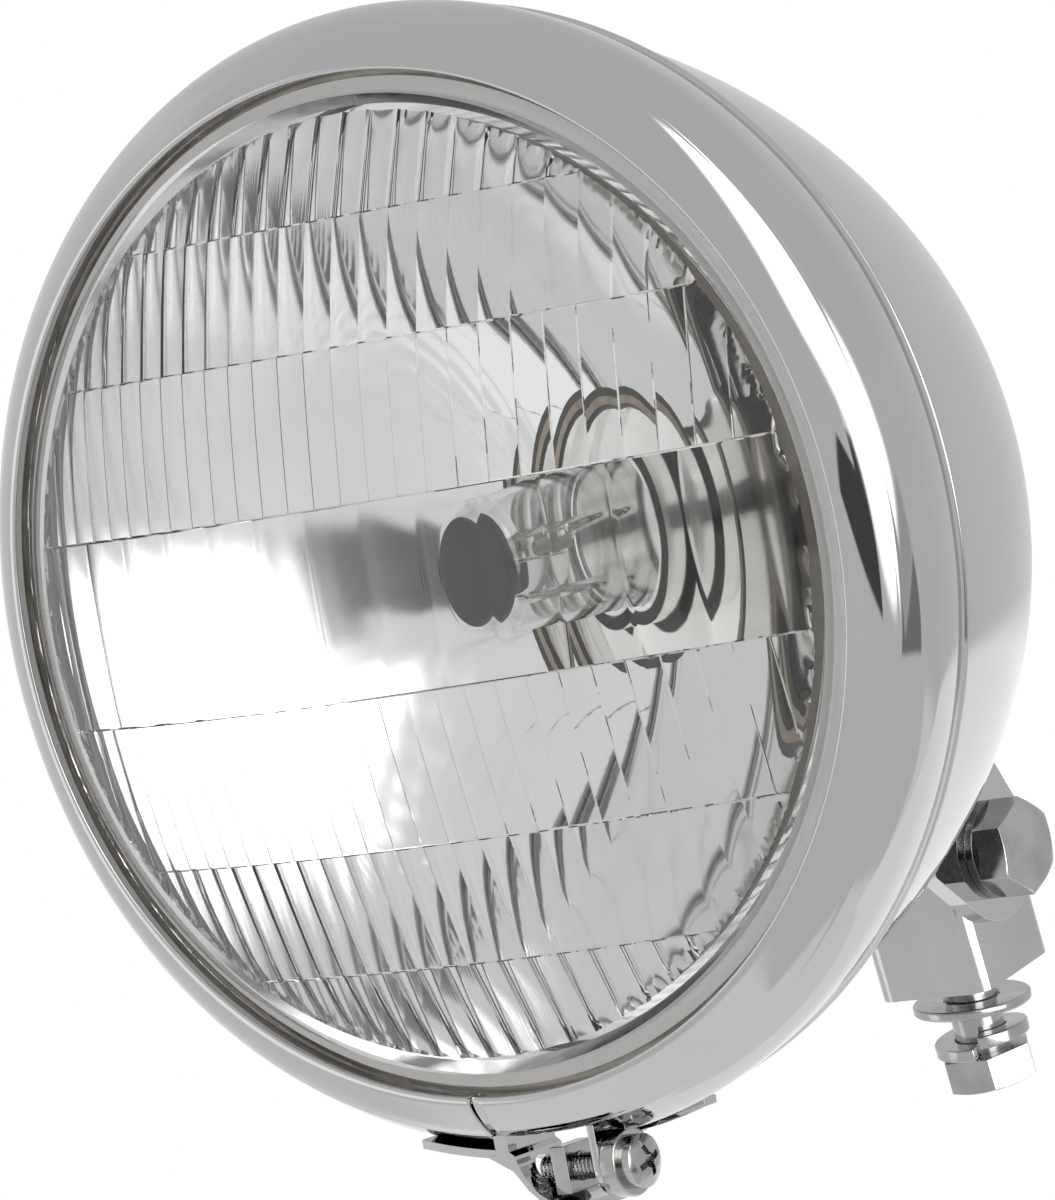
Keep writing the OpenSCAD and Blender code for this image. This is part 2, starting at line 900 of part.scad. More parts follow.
module mount_bolt() {
    color("lightgray")
        on_block() {
            translate([0, 0, -bolt_out - head_h])
                rotate([0, 0, -56.5])
                    hexagon(head_h, true, false);
            translate([0, 0, -bolt_out])
                cylinder(r = bolt_r, h = bolt_out + pivot_up - 9.5);
        }
}

// The flat washer hangs loose on the bolt, a little tilted.
module mount_flat_washer() {
    color("lightgray")
        on_block()
            translate([0, 0, -4.1])
                rotate([0, 0, 38])
                    rotate([0, flat_tilt, 0])
                        difference() {
                            cylinder(r = flat_r, h = flat_t, center = true);
                            cylinder(r = bolt_r + 0.35, h = 5, center = true);
                        }
}

// Corner points of the spring washer's section at one step of its turn.
function spring_corners(turn, drop) = [
    for (p = [[bolt_r + 0.2, 0], [spring_r, 0], [spring_r, spring_t], [bolt_r + 0.2, spring_t]])
        [p[0] * cos(turn), p[0] * sin(turn), p[1] + drop]
];

// The spring washer is one turn of square bar, left open by its own spring.
module mount_spring_washer() {
    steps = 40;
    sweep = 352;
    points = [
        for (i = [0:steps])
            each spring_corners(sweep * i / steps, spring_rise * (1 - i / steps))
    ];
    sides = [
        for (i = [0:steps - 1], k = [0:3])
            [4 * i + k, 4 * i + (k + 1) % 4, 4 * i + 4 + (k + 1) % 4, 4 * i + 4 + k]
    ];
    color("darkgray")
        on_block()
            translate([0, 0, -bolt_out + fit_gap])
                rotate([0, 0, -61])
                    polyhedron(
                        points = points,
                        faces = concat(
                            [[3, 2, 1, 0]],
                            sides,
                            [[4 * steps, 4 * steps + 1, 4 * steps + 2, 4 * steps + 3]]
                        )
                    );
}

bucket();
trim_ring();
ring_lug_right();
ring_lug_left();
clamp_screw();
clamp_nut();
clamp_collar();
lens();
rim_sealant();
reflector();
unit_clips();
bulb_glass();
main_filament();
dip_filament();
filament_supports();
dip_shield();
bulb_base();
bulb_insulator();
bulb_terminals();
bulb_spring();
bulb_boot();
wire_grommet();
mount_bracket();
pivot_bolt();
pivot_washers();
pivot_nut();
mount_block();
mount_bolt();
mount_flat_washer();
mount_spring_washer();
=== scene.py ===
"""Round motorcycle headlight: its looks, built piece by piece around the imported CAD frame."""

import math

import bmesh
import bpy
import numpy as np
from mathutils import Matrix, Vector


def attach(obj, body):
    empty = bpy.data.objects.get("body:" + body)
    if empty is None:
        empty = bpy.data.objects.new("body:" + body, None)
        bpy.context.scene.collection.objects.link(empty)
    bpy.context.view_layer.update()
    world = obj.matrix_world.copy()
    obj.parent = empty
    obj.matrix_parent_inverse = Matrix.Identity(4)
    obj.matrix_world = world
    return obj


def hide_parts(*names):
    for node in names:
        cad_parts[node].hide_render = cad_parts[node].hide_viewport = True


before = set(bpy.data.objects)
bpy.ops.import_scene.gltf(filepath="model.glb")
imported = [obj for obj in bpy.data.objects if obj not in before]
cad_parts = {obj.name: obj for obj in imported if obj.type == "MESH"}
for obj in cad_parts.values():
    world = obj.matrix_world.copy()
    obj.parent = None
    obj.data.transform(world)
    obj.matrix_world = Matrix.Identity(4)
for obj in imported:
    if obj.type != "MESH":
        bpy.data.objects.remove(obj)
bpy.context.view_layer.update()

# Camera: a long lens from the lamp's front left, a little above its axis, as in the
# photograph. The long side of the frame is its height, so the sensor width is used there.
camera_data = bpy.data.cameras.new("camera")
camera_data.sensor_width = 36
camera_data.lens = 208.3
camera_data.clip_end = 50
camera = bpy.data.objects.new("camera", camera_data)
bpy.context.scene.collection.objects.link(camera)
camera_axes = Matrix(
    (
        (0.7865, 0.1153, 0.6067),
        (0.5904, 0.1477, -0.7935),
        (-0.1811, 0.9823, 0.0481),
    )
)
camera.matrix_world = Matrix.Translation((0.5942, -0.8677, 0.1188)) @ camera_axes.to_4x4()
bpy.context.scene.camera = camera
bpy.context.scene.view_settings.view_transform = "Standard"


# Studio: a white table and a grey tent that the chrome mirrors, with boards round the lamp,
# one bright panel to its left and dark gaps below it. The camera itself sees plain white.
def math_node(tree, operation, a, b=None, c=None):
    node = tree.nodes.new("ShaderNodeMath")
    node.operation = operation
    for socket, value in zip(node.inputs, (a, b, c)):
        if value is None:
            continue
        if isinstance(value, (int, float)):
            socket.default_value = value
        else:
            tree.links.new(value, socket)
    return node.outputs[0]


def smooth_range(tree, value, low, high):
    """0 below low, 1 above high, with a soft change between them."""
    node = tree.nodes.new("ShaderNodeMapRange")
    node.interpolation_type = "SMOOTHSTEP"
    tree.links.new(value, node.inputs["Value"])
    node.inputs["From Min"].default_value = low
    node.inputs["From Max"].default_value = high
    return node.outputs["Result"]


def blend_value(tree, share, low, high):
    """A value that goes from low to high as share goes from 0 to 1."""
    node = tree.nodes.new("ShaderNodeMix")
    node.data_type = "FLOAT"
    tree.links.new(share, node.inputs["Factor"])
    for socket, value in ((node.inputs["A"], low), (node.inputs["B"], high)):
        if isinstance(value, (int, float)):
            socket.default_value = value
        else:
            tree.links.new(value, socket)
    return node.outputs["Result"]


def studio_patch(tree, azimuth, elevation, corners, soft):
    """1 inside a convex patch of the studio, its corners (azimuth, elevation) anticlockwise."""
    inside = None
    for (x0, y0), (x1, y1) in zip(corners, corners[1:] + corners[:1]):
        length = math.hypot(x1 - x0, y1 - y0)
        nx, ny = -(y1 - y0) / length, (x1 - x0) / length
        along = math_node(tree, "MULTIPLY", azimuth, nx)
        along = math_node(tree, "MULTIPLY_ADD", elevation, ny, along)
        edge = smooth_range(tree, along, nx * x0 + ny * y0 - soft, nx * x0 + ny * y0 + soft)
        inside = edge if inside is None else math_node(tree, "MULTIPLY", inside, edge)
    return inside


studio = bpy.data.worlds.new("studio")
bpy.context.scene.world = studio
studio.use_nodes = True
tree = studio.node_tree
tree.nodes.clear()
direction = tree.nodes.new("ShaderNodeSeparateXYZ")
tree.links.new(tree.nodes.new("ShaderNodeTexCoord").outputs["Generated"], direction.inputs[0])
side_on, away, upward = direction.outputs
azimuth = math_node(tree, "ARCTAN2", side_on, math_node(tree, "MULTIPLY", away, -1))
azimuth = math_node(tree, "DEGREES", azimuth)
elevation = math_node(tree, "DEGREES", math_node(tree, "ARCSINE", upward))

TENT, TABLE, GREY_BOARD, LEFT_BOARD, FRONT_BOARD = 0.7, 0.92, 0.72, 0.8, 1.3
FAR_TABLE, GREY_FOLD, GAP, LOW_GAP, PANEL = 1.05, 0.5, 0.08, 0.25, 3.0
TABLE_EDGE, FAR_EDGE_SOFT, SOFT_LIGHT = (-34, -26), 1.5, 0.8
light = blend_value(tree, smooth_range(tree, elevation, *TABLE_EDGE), TABLE, TENT)
around = math_node(tree, "FLOORED_MODULO", azimuth, 360)
far_table = [
    (105, -66), (250, -66), (250, -2), (214, -4), (180, -12), (165, -17.5), (150, -25), (135, -36), (122, -48)
]
patch = studio_patch(tree, around, elevation, far_table, FAR_EDGE_SOFT)
light = blend_value(tree, patch, light, FAR_TABLE)
for brightness, soft, corners in (
    (GREY_BOARD, 3, [(-30, -8), (8, -72), (112, -60), (118, -40), (104, -25), (10, -1)]),
    (LEFT_BOARD, 5, [
        (-132, 0), (-125, -28), (-100, -44), (-70, -40), (-50, -20),
        (-44, 5), (-60, 28), (-90, 40), (-120, 25),
    ]),
    (FRONT_BOARD, 3, [(-64, -22), (-40, -22), (-40, 10), (-64, 10)]),
    (GAP, 0.8, [(9, 0), (50, -17), (50, 2), (30, 8)]),
    (GAP, 0.8, [(42, 2), (50, 2), (49, 9), (43, 10)]),
    (LOW_GAP, 0.8, [(72, -25), (99, -25), (97, -18), (92, -9)]),
    (GREY_FOLD, 2, [(74, -24), (92, -9), (88, 4), (74, -6)]),
    (PANEL, 4, [(34, 25), (48, 14), (60, 34), (59, 63), (47, 68), (38, 45)]),
    (PANEL, 4, [(60, 34), (73, 44), (59, 63)]),
    (PANEL, 4, [(48, 14), (73, 33), (73, 44), (60, 34)]),
    (PANEL, 4, [(49, 4), (54, -10), (66, -17), (82, 2), (83, 14), (79, 28), (73, 33), (48, 16)]),
):
    patch = studio_patch(tree, azimuth, elevation, corners, soft)
    light = blend_value(tree, patch, light, brightness)
rays = tree.nodes.new("ShaderNodeLightPath")
mirrored = math_node(tree, "MAXIMUM", rays.outputs["Is Glossy Ray"], rays.outputs["Is Transmission Ray"])
light = blend_value(tree, mirrored, SOFT_LIGHT, light)
light = blend_value(tree, rays.outputs["Is Camera Ray"], light, 1)
background = tree.nodes.new("ShaderNodeBackground")
background.inputs["Color"].default_value = (1, 1, 1, 1)
tree.links.new(light, background.inputs["Strength"])
output = tree.nodes.new("ShaderNodeOutputWorld")
tree.links.new(background.outputs[0], output.inputs["Surface"])


# Chrome: every plated pressing of the lamp. It is a cold grey mirror with a trace of haze that
# varies with a fine grain, and a faint slow ripple in its tone.
def new_material(name):
    material = bpy.data.materials.new(name)
    material.use_nodes = True
    shader = material.node_tree.nodes["Principled BSDF"]
    return material, material.node_tree, shader


def add_noise(tree, scale, detail, stretch=(1, 1, 1)):
    """Noise on object coordinates; scale is in repeats a metre."""
    place = tree.nodes.new("ShaderNodeTexCoord")
    mapping = tree.nodes.new("ShaderNodeMapping")
    mapping.inputs["Scale"].default_value = stretch
    tree.links.new(place.outputs["Object"], mapping.inputs["Vector"])
    noise = tree.nodes.new("ShaderNodeTexNoise")
    noise.inputs["Scale"].default_value = scale
    noise.inputs["Detail"].default_value = detail
    tree.links.new(mapping.outputs[0], noise.inputs["Vector"])
    return noise.outputs["Fac"]


def ramp_between(tree, value, positions, colours):
    ramp = tree.nodes.new("ShaderNodeValToRGB")
    for element, place, colour in zip(ramp.color_ramp.elements, positions, colours):
        element.position = place
        element.color = (*colour, 1)
    tree.links.new(value, ramp.inputs["Fac"])
    return ramp.outputs["Color"]


def add_bump(tree, shader, height, strength, distance):
    bump = tree.nodes.new("ShaderNodeBump")
    bump.inputs["Strength"].default_value = strength
    bump.inputs["Distance"].default_value = distance
    tree.links.new(height, bump.inputs["Height"])
    tree.links.new(bump.outputs["Normal"], shader.inputs["Normal"])


def metal_material(name, dark, bright, rough_low, rough_high, grain, bump, ripple):
    """Metal whose roughness, and bump if any, vary with a fine grain, and whose tone varies with a slow
    ripple.
    """
    material, tree, shader = new_material(name)
    shader.inputs["Metallic"].default_value = 1
    fine = add_noise(tree, grain, 6)
    slow = add_noise(tree, ripple, 2)
    tree.links.new(ramp_between(tree, slow, (0.35, 0.65), (dark, bright)), shader.inputs["Base Color"])
    rough = math_node(tree, "MULTIPLY_ADD", fine, rough_high - rough_low, rough_low)
    tree.links.new(rough, shader.inputs["Roughness"])
    if bump:
        add_bump(tree, shader, fine, bump, 0.0001)
    return material


chrome = metal_material(
    "chrome_plate", (0.535, 0.54, 0.54), (0.56, 0.562, 0.56), 0.02, 0.05, 900, 0, 30
)


def spin_section(name, section, columns, smooth_angle=25):
    """Closed shell turned about the lamp's axis from a closed section of (radius, depth) in mm."""
    section = np.array(section, float)
    rows = len(section)
    turns = np.linspace(0, 2 * math.pi, columns, endpoint=False)
    radius, depth = section[:, 0], section[:, 1]
    points = np.stack(
        [
            np.outer(np.cos(turns), radius),
            np.tile(depth - LIP_REACH, (columns, 1)),
            np.outer(np.sin(turns), radius) + AXIS_HEIGHT,
        ],
        -1,
    ).reshape(-1, 3)
    faces = [
        (
            i * rows + k,
            i * rows + (k + 1) % rows,
            (i + 1) % columns * rows + (k + 1) % rows,
            (i + 1) % columns * rows + k,
        )
        for i in range(columns)
        for k in range(rows)
    ]
    return mesh_piece(name, points, faces, smooth_angle)


def mesh_piece(name, points_mm, faces, smooth_angle):
    """A piece from points in millimetres: doubles merged, faces outwards, sharp edges marked."""
    mesh = bpy.data.meshes.new(name)
    mesh.from_pydata((np.asarray(points_mm) * 0.001).tolist(), [], faces)
    piece = bpy.data.objects.new(name, mesh)
    bpy.context.scene.collection.objects.link(piece)
    finish_mesh(piece, smooth_angle)
    return piece


def finish_mesh(piece, smooth_angle):
    shape = bmesh.new()
    shape.from_mesh(piece.data)
    bmesh.ops.remove_doubles(shape, verts=shape.verts, dist=2e-6)
    bmesh.ops.dissolve_degenerate(shape, dist=1e-6, edges=shape.edges)
    bmesh.ops.recalc_face_normals(shape, faces=shape.faces)
    limit = math.radians(smooth_angle)
    for face in shape.faces:
        face.smooth = True
    for edge in shape.edges:
        edge.smooth = len(edge.link_faces) != 2 or edge.calc_face_angle(0) < limit
    shape.to_mesh(piece.data)
    shape.free()


def dress(piece, material, body, slot_name, *replaced):
    """The last steps of a piece: its material, its body and the nodes it stands for. The slot_name is not
    used.
    """
    piece.data.materials.clear()
    piece.data.materials.append(material)
    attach(piece, body)
    if replaced:
        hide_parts(*replaced)


# Bucket: a deep half-ellipse pressed from 1 mm steel and chromed. Its front edge goes inside
# the trim ring, and a hole at its back takes the wires' grommet.
LIP_REACH, AXIS_HEIGHT = 116.0, 77.2
BUCKET_R, BUCKET_DEPTH, BUCKET_WALL, BUCKET_FRONT = 79.0, 100.0, 1.0, 12.0
SEAM_DEPTH, OUTLET_R = 18.5, 7.5
hem_r = BUCKET_R * math.sqrt(1 - (SEAM_DEPTH / BUCKET_DEPTH) ** 2)


def new_tree(name, sizes):
    """A geometry tree with a named input for each size, whole numbers for counts."""
    tree = bpy.data.node_groups.new(name, "GeometryNodeTree")
    for label, value in sizes.items():
        kind = "NodeSocketInt" if isinstance(value, int) else "NodeSocketFloat"
        tree.interface.new_socket(label, in_out="INPUT", socket_type=kind).default_value = value
    tree.interface.new_socket("Geometry", in_out="OUTPUT", socket_type="NodeSocketGeometry")
    return tree, tree.nodes.new("NodeGroupInput").outputs


def end_tree(tree, geometry, material):
    """The end of every geometry tree: real meshes, with their material."""
    real = tree.nodes.new("GeometryNodeRealizeInstances")
    coat = tree.nodes.new("GeometryNodeSetMaterial")
    coat.inputs["Material"].default_value = material
    tree.links.new(geometry, real.inputs[0])
    tree.links.new(real.outputs[0], coat.inputs["Geometry"])
    tree.links.new(coat.outputs[0], tree.nodes.new("NodeGroupOutput").inputs[0])


def grown_piece(name, tree, sizes, smooth_angle, wall_mm=0):
    """Runs a geometry tree with these sizes and keeps its result as a plain mesh."""
    piece = bpy.data.objects.new(name, bpy.data.meshes.new(name))
    bpy.context.scene.collection.objects.link(piece)
    grower = piece.modifiers.new("grow", "NODES")
    grower.node_group = tree
    for item in tree.interface.items_tree:
        if item.in_out == "INPUT" and item.name in sizes:
            grower[item.identifier] = sizes[item.name]
    graph = bpy.context.evaluated_depsgraph_get()
    piece.data = bpy.data.meshes.new_from_object(piece.evaluated_get(graph), depsgraph=graph)
    piece.modifiers.remove(grower)
    finish_mesh(piece, smooth_angle)
    if wall_mm:
        wall = piece.modifiers.new("wall", "SOLIDIFY")
        wall.thickness = wall_mm * 0.001
        wall.offset = -1
    return piece


def set_place(tree, mesh, x, y, z):
    """Moves every point of a mesh to the place that three fields give."""
    place = tree.nodes.new("ShaderNodeCombineXYZ")
    for socket, value in zip(place.inputs, (x, y, z)):
        tree.links.new(value, socket)
    move = tree.nodes.new("GeometryNodeSetPosition")
    tree.links.new(mesh, move.inputs["Geometry"])
    tree.links.new(place.outputs[0], move.inputs["Position"])
    return move.outputs[0]


def point_parts(tree):
    parts = tree.nodes.new("ShaderNodeSeparateXYZ")
    tree.links.new(tree.nodes.new("GeometryNodeInputPosition").outputs[0], parts.inputs[0])
    return parts.outputs


bowl_sizes = {
    "Radius": BUCKET_R / 1000, "Depth": BUCKET_DEPTH / 1000, "Front": BUCKET_FRONT / 1000,
    "Hem radius": hem_r / 1000, "Hole radius": OUTLET_R / 1000,
    "Axis height": AXIS_HEIGHT / 1000, "Lip reach": LIP_REACH / 1000, "Rows": 150, "Columns": 257,
}
tree, given = new_tree("bowl", bowl_sizes)
sheet_grid = tree.nodes.new("GeometryNodeMeshGrid")
sheet_grid.inputs["Size X"].default_value = 1
sheet_grid.inputs["Size Y"].default_value = 1
tree.links.new(given["Rows"], sheet_grid.inputs["Vertices X"])
tree.links.new(given["Columns"], sheet_grid.inputs["Vertices Y"])
u, v, _ = point_parts(tree)
low = math_node(tree, "ARCSINE", math_node(tree, "DIVIDE", given["Front"], given["Depth"]))
high = math_node(tree, "ARCCOSINE", math_node(tree, "DIVIDE", given["Hole radius"], given["Radius"]))
share = math_node(tree, "ADD", u, 0.5)
slant = math_node(tree, "MULTIPLY_ADD", math_node(tree, "SUBTRACT", high, low), share, low)
radius = math_node(tree, "MULTIPLY", given["Radius"], math_node(tree, "COSINE", slant))
radius = math_node(tree, "MINIMUM", radius, given["Hem radius"])
turn = math_node(tree, "MULTIPLY", v, 2 * math.pi)
x = math_node(tree, "MULTIPLY", radius, math_node(tree, "COSINE", turn))
z = math_node(tree, "MULTIPLY_ADD", radius, math_node(tree, "SINE", turn), given["Axis height"])
y = math_node(tree, "MULTIPLY", given["Depth"], math_node(tree, "SINE", slant))
y = math_node(tree, "SUBTRACT", y, given["Lip reach"])
end_tree(tree, set_place(tree, sheet_grid.outputs["Mesh"], x, y, z), chrome)
bucket = grown_piece("bucket_shell", tree, bowl_sizes, 25, BUCKET_WALL)
probe = bucket.data.polygons[len(bucket.data.polygons) // 2]
if probe.normal.dot(probe.center - Vector((0, -0.1, AXIS_HEIGHT / 1000))) < 0:
    bucket.data.flip_normals()
dress(bucket, chrome, "head", "chrome", "bucket")

# Trim ring: a rolled steel band that holds the light unit against the bucket. It is split at
# six o'clock, and a notch in its side leaves room for the clamp.
LIP_R, CROWN_RISE, CROWN_DEPTH, RING_WALL, LIP_RETURN = 72.0, 8.45, 10.0, 0.8, 2.6
CROWN_R = LIP_R + CROWN_RISE
SPLIT_X, SPLIT_GAP, SPLIT_R = -6.0, 0.8, 76.0
NOTCH_W, NOTCH_DEPTH, NOTCH_R = 19.2, 3.95, 74.0
BLUNT, SAG, FLARE, FLARE_L = 1.22, 1.7, 0.85, 1.25
ring_end_r = hem_r + 0.05 + RING_WALL
ring_path = [(LIP_R - 0.3, LIP_RETURN - 0.25 * i) for i in range(9)]
ring_path += [
    (LIP_R + 0.05 - 0.35 * math.cos(a), 0.35 - 0.35 * math.sin(a)) for a in np.linspace(0.1, 1.4, 6)
]
ring_path += [
    (LIP_R + CROWN_RISE * math.sin(t) ** BLUNT, CROWN_DEPTH - CROWN_DEPTH * math.cos(t) ** BLUNT)
    for t in np.linspace(0.12, math.pi / 2, 56)
]


def ring_side(t):
    """A point of the ring's side, which flares out a little just before its back edge."""
    depth = CROWN_DEPTH + (SEAM_DEPTH - CROWN_DEPTH) * t
    flare = FLARE * max(0, 1 - (SEAM_DEPTH - depth) / FLARE_L) ** 2
    return CROWN_R - (CROWN_R - ring_end_r) * t**SAG + flare, depth


ring_path += [ring_side(t) for t in np.linspace(0, 1, 44)[1:]]
below = -math.pi / 2
cut_turns = [
    below + math.asin(x / SPLIT_R)
    for x in (SPLIT_X - SPLIT_GAP, SPLIT_X, SPLIT_X - 0.1 + NOTCH_W)
]
turns = sorted(
    [t for t in np.linspace(below - math.pi, below + math.pi, 320, endpoint=False)
     if min(abs(t - c) for c in cut_turns) > 0.006]
    + cut_turns
)
gap_row = int(np.argmin([abs(d - NOTCH_DEPTH) + (r < NOTCH_R) for r, d in ring_path]))
ring_path[gap_row] = (ring_path[gap_row][0], NOTCH_DEPTH)
rows = len(ring_path)
points, faces = [], []
for turn in turns:
    for radius, depth in ring_path:
        x, up = radius * math.cos(turn), radius * math.sin(turn)
        if turn in cut_turns:
            x = SPLIT_R * math.sin(turn - below)
            up = -math.sqrt(radius * radius - x * x)
        points.append((x, depth - LIP_REACH, up + AXIS_HEIGHT))
for i, turn in enumerate(turns):
    following = (i + 1) % len(turns)
    middle = turn + 1e-4
    if cut_turns[0] < middle < cut_turns[1]:
        continue
    for k in range(rows - 1):
        if k >= gap_row and cut_turns[1] < middle < cut_turns[2]:
            continue
        faces.append((i * rows + k, i * rows + k + 1, following * rows + k + 1, following * rows + k))
ring = mesh_piece("trim_ring_shell", points, faces, 30)
probe = ring.data.polygons[len(ring.data.polygons) // 2]
outwards = probe.center - Vector((0, probe.center.y, AXIS_HEIGHT * 0.001))
if probe.normal.dot(outwards) < 0 and probe.normal.y > 0:
    ring.data.flip_normals()
sheet = ring.modifiers.new("sheet", "SOLIDIFY")
sheet.thickness = RING_WALL * 0.001
sheet.offset = -1
dress(ring, chrome, "head", "chrome", "trim_ring")

# Light unit's glass: a pressed lens, smooth outside and fluted inside. The flutes stand in
# seven level bands, strong at the top and bottom and faint across the middle.
DOME_CURVE, DOME_RISE, DOME_R, GLASS_T = 142.6, 17.3, 68.5, 3.6
RIM_FRONT, RIM_T, UNIT_R, FLUTED_R = 2.65, 3.2, 72.6, 65.5
FLUTE_PITCH = 4.7
STRONG, MEDIUM = (FLUTE_PITCH, 5.5), (FLUTE_PITCH, 11.0)
FAINT, WIDE = (FLUTE_PITCH, 30.0), (2 * FLUTE_PITCH, 42.0)
BANDS = (
    (-DOME_R, -51.6, STRONG),
    (-51.6, -34.3, MEDIUM),
    (-34.3, -13.2, FAINT),
    (-13.2, 13.2, WIDE),
    (13.2, 34.3, FAINT),
    (34.3, 51.6, MEDIUM),
    (51.6, DOME_R, STRONG),
)
dome_centre = DOME_CURVE - DOME_RISE
inner_curve = DOME_CURVE - GLASS_T


def flute_height(x, flute):
    """Distance of the fluted face from the dome's centre, in the plane of one band."""
    pitch, flute_r = flute
    flute_no = np.rint(x / pitch - 1e-6)
    start, end = (np.arcsin((flute_no + side) * pitch / inner_curve) for side in (-0.5, 0.5))
    half = inner_curve * np.sin((end - start) / 2)
    centre = inner_curve * np.cos((end - start) / 2) - np.sqrt(flute_r**2 - half**2)
    middle = (start + end) / 2
    return centre * np.cos(middle) + np.sqrt(flute_r**2 - (x - centre * np.sin(middle)) ** 2)


EDGE_LINE, EDGE_GROOVE = 0.16, 0.07
across = np.arange(-141, 142) * FLUTE_PITCH / 10
CUSP_LINE, CUSP_GROOVE = 0.13, 0.045
cusps = np.arange(-13.5, 14) * FLUTE_PITCH
across = np.unique(np.concatenate([across, cusps - CUSP_LINE, cusps + CUSP_LINE]).round(5))
at_cusp = np.isclose(across / FLUTE_PITCH % 1, 0.5, atol=1e-3)
lines = []
for low, high, flute in BANDS:
    slope = math.asin((low + high) / 2 / inner_curve)
    reach = flute_height(across, flute)
    if flute is FAINT:
        reach[at_cusp] += CUSP_GROOVE
    heights = [low + EDGE_LINE, *np.linspace(low + 1, high - 1, int((high - low) / 1.1)), high - EDGE_LINE]
    for up in (low, *heights, high):
        groove = EDGE_GROOVE if up in (low, high) else 0
        depth = dome_centre - reach / math.cos(slope) + up * math.tan(slope) - groove
        lines.append(np.stack([across, np.full_like(across, up), depth], -1))
# The fluted face is trimmed to a circle, whose border then grows into the rim and the dome.
grid = np.array(lines)
n_lines, n_across = grid.shape[:2]
grid_faces = []
for i in range(n_lines - 1):
    for k in range(n_across - 1):
        corner = grid[i, k], grid[i, k + 1], grid[i + 1, k + 1], grid[i + 1, k]
        centre = sum(corner) / 4
        if math.hypot(centre[0], centre[1]) < FLUTED_R - 0.3:
            grid_faces.append(
                (i * n_across + k, i * n_across + k + 1, (i + 1) * n_across + k + 1, (i + 1) * n_across + k)
            )
points = grid.reshape(-1, 3)
used = sorted({v for face in grid_faces for v in face})
rename = {v: n for n, v in enumerate(used)}
points = [tuple(points[v]) for v in used]
grid_faces = [tuple(rename[v] for v in face) for face in grid_faces]
edges = dict.fromkeys((a, b) for face in grid_faces for a, b in zip(face, face[1:] + face[:1]))
border = {a: b for a, b in edges if (b, a) not in edges}
start = next(iter(border))
loop = [start]
while border[loop[-1]] != start:
    loop.append(border[loop[-1]])
for v in loop:
    x, up, depth = points[v]
    scale = FLUTED_R / math.hypot(x, up)
    points[v] = (x * scale, up * scale, depth)
GROUND_R, RIM_EDGE, STEP = DOME_R + 2.2, 0.4, 0.3
rim_back = RIM_FRONT + RIM_T
glass_outline = [(FLUTED_R, rim_back), (UNIT_R - RIM_EDGE, rim_back), (UNIT_R, rim_back - RIM_EDGE)]
glass_outline += [(UNIT_R, RIM_FRONT + RIM_EDGE), (UNIT_R - RIM_EDGE, RIM_FRONT), (GROUND_R, RIM_FRONT)]
glass_outline += [(DOME_R + STEP, RIM_FRONT), (DOME_R, RIM_FRONT - STEP)]
glass_outline += [(r, dome_centre - math.sqrt(DOME_CURVE**2 - r * r)) for r in np.linspace(DOME_R, 1.2, 44)]
faces = list(grid_faces)
previous = loop
for radius, depth in glass_outline:
    ring_now = []
    for v in loop:
        x, up, _ = points[v]
        scale = radius / math.hypot(x, up)
        ring_now.append(len(points))
        points.append((x * scale, up * scale, depth))
    for k in range(len(loop)):
        after = (k + 1) % len(loop)
        faces.append((previous[after], previous[k], ring_now[k], ring_now[after]))
    previous = ring_now
faces.append(tuple(previous[::-1]))
points = np.array(points)
points = np.stack([points[:, 0], points[:, 2] - LIP_REACH, points[:, 1] + AXIS_HEIGHT], -1)
lens = mesh_piece("fluted_lens", points, faces, 14)


def glass_material(name, colour, rough):
    material, tree, shader = new_material(name)
    shader.inputs["Base Color"].default_value = (*colour, 1)
    shader.inputs["Transmission Weight"].default_value = 1
    shader.inputs["IOR"].default_value = 1.52
    shader.inputs["Roughness"].default_value = rough
    return material, tree, shader


lens_glass, tree, shader = glass_material("lens_glass", (0.985, 0.99, 0.988), 0)
wave = add_noise(tree, 60, 2)
add_bump(tree, shader, wave, 0.06, 0.0006)
dress(lens, lens_glass, "head", "lens_glass", "lens")
ground_edge, tree, shader = glass_material("ground_edge", (0.93, 0.93, 0.92), 0.6)
shader.inputs["Transmission Weight"].default_value = 0.35
grit = add_noise(tree, 900, 4)
add_bump(tree, shader, grit, 0.5, 0.0002)
lens.data.materials.append(ground_edge)


def face_place(face):
    """A face's distance from the lamp's axis and its depth behind the lip, in millimetres."""
    x, y, z = face.center
    return math.hypot(x, z - AXIS_HEIGHT / 1000) * 1000, y * 1000 + LIP_REACH


for face in lens.data.polygons:
    radius, depth = face_place(face)
    if DOME_R - 0.2 < radius < GROUND_R and 0.3 < depth < RIM_FRONT + 0.1:
        face.material_index = 1

# Sealant: the grey-brown bead that bonds the glass rim to the reflector. It shows through
# the rim as a narrow band inside the trim ring's lip.
SEAL_FRONT, SEAL_T, SEAL_IN = rim_back, 1.0, DOME_R + 0.4
SEAL_BACK = SEAL_FRONT + SEAL_T


def lamp_place(tree):
    """A point's distance from the lamp's axis and its depth behind the lip, in millimetres."""
    parts = tree.nodes.new("ShaderNodeSeparateXYZ")
    tree.links.new(tree.nodes.new("ShaderNodeTexCoord").outputs["Object"], parts.inputs[0])
    x, y, z = parts.outputs
    up = math_node(tree, "SUBTRACT", z, AXIS_HEIGHT / 1000)
    spread = math_node(tree, "MULTIPLY_ADD", x, x, math_node(tree, "MULTIPLY", up, up))
    radius = math_node(tree, "MULTIPLY", math_node(tree, "SQRT", spread), 1000)
    return radius, math_node(tree, "MULTIPLY_ADD", y, 1000, LIP_REACH)


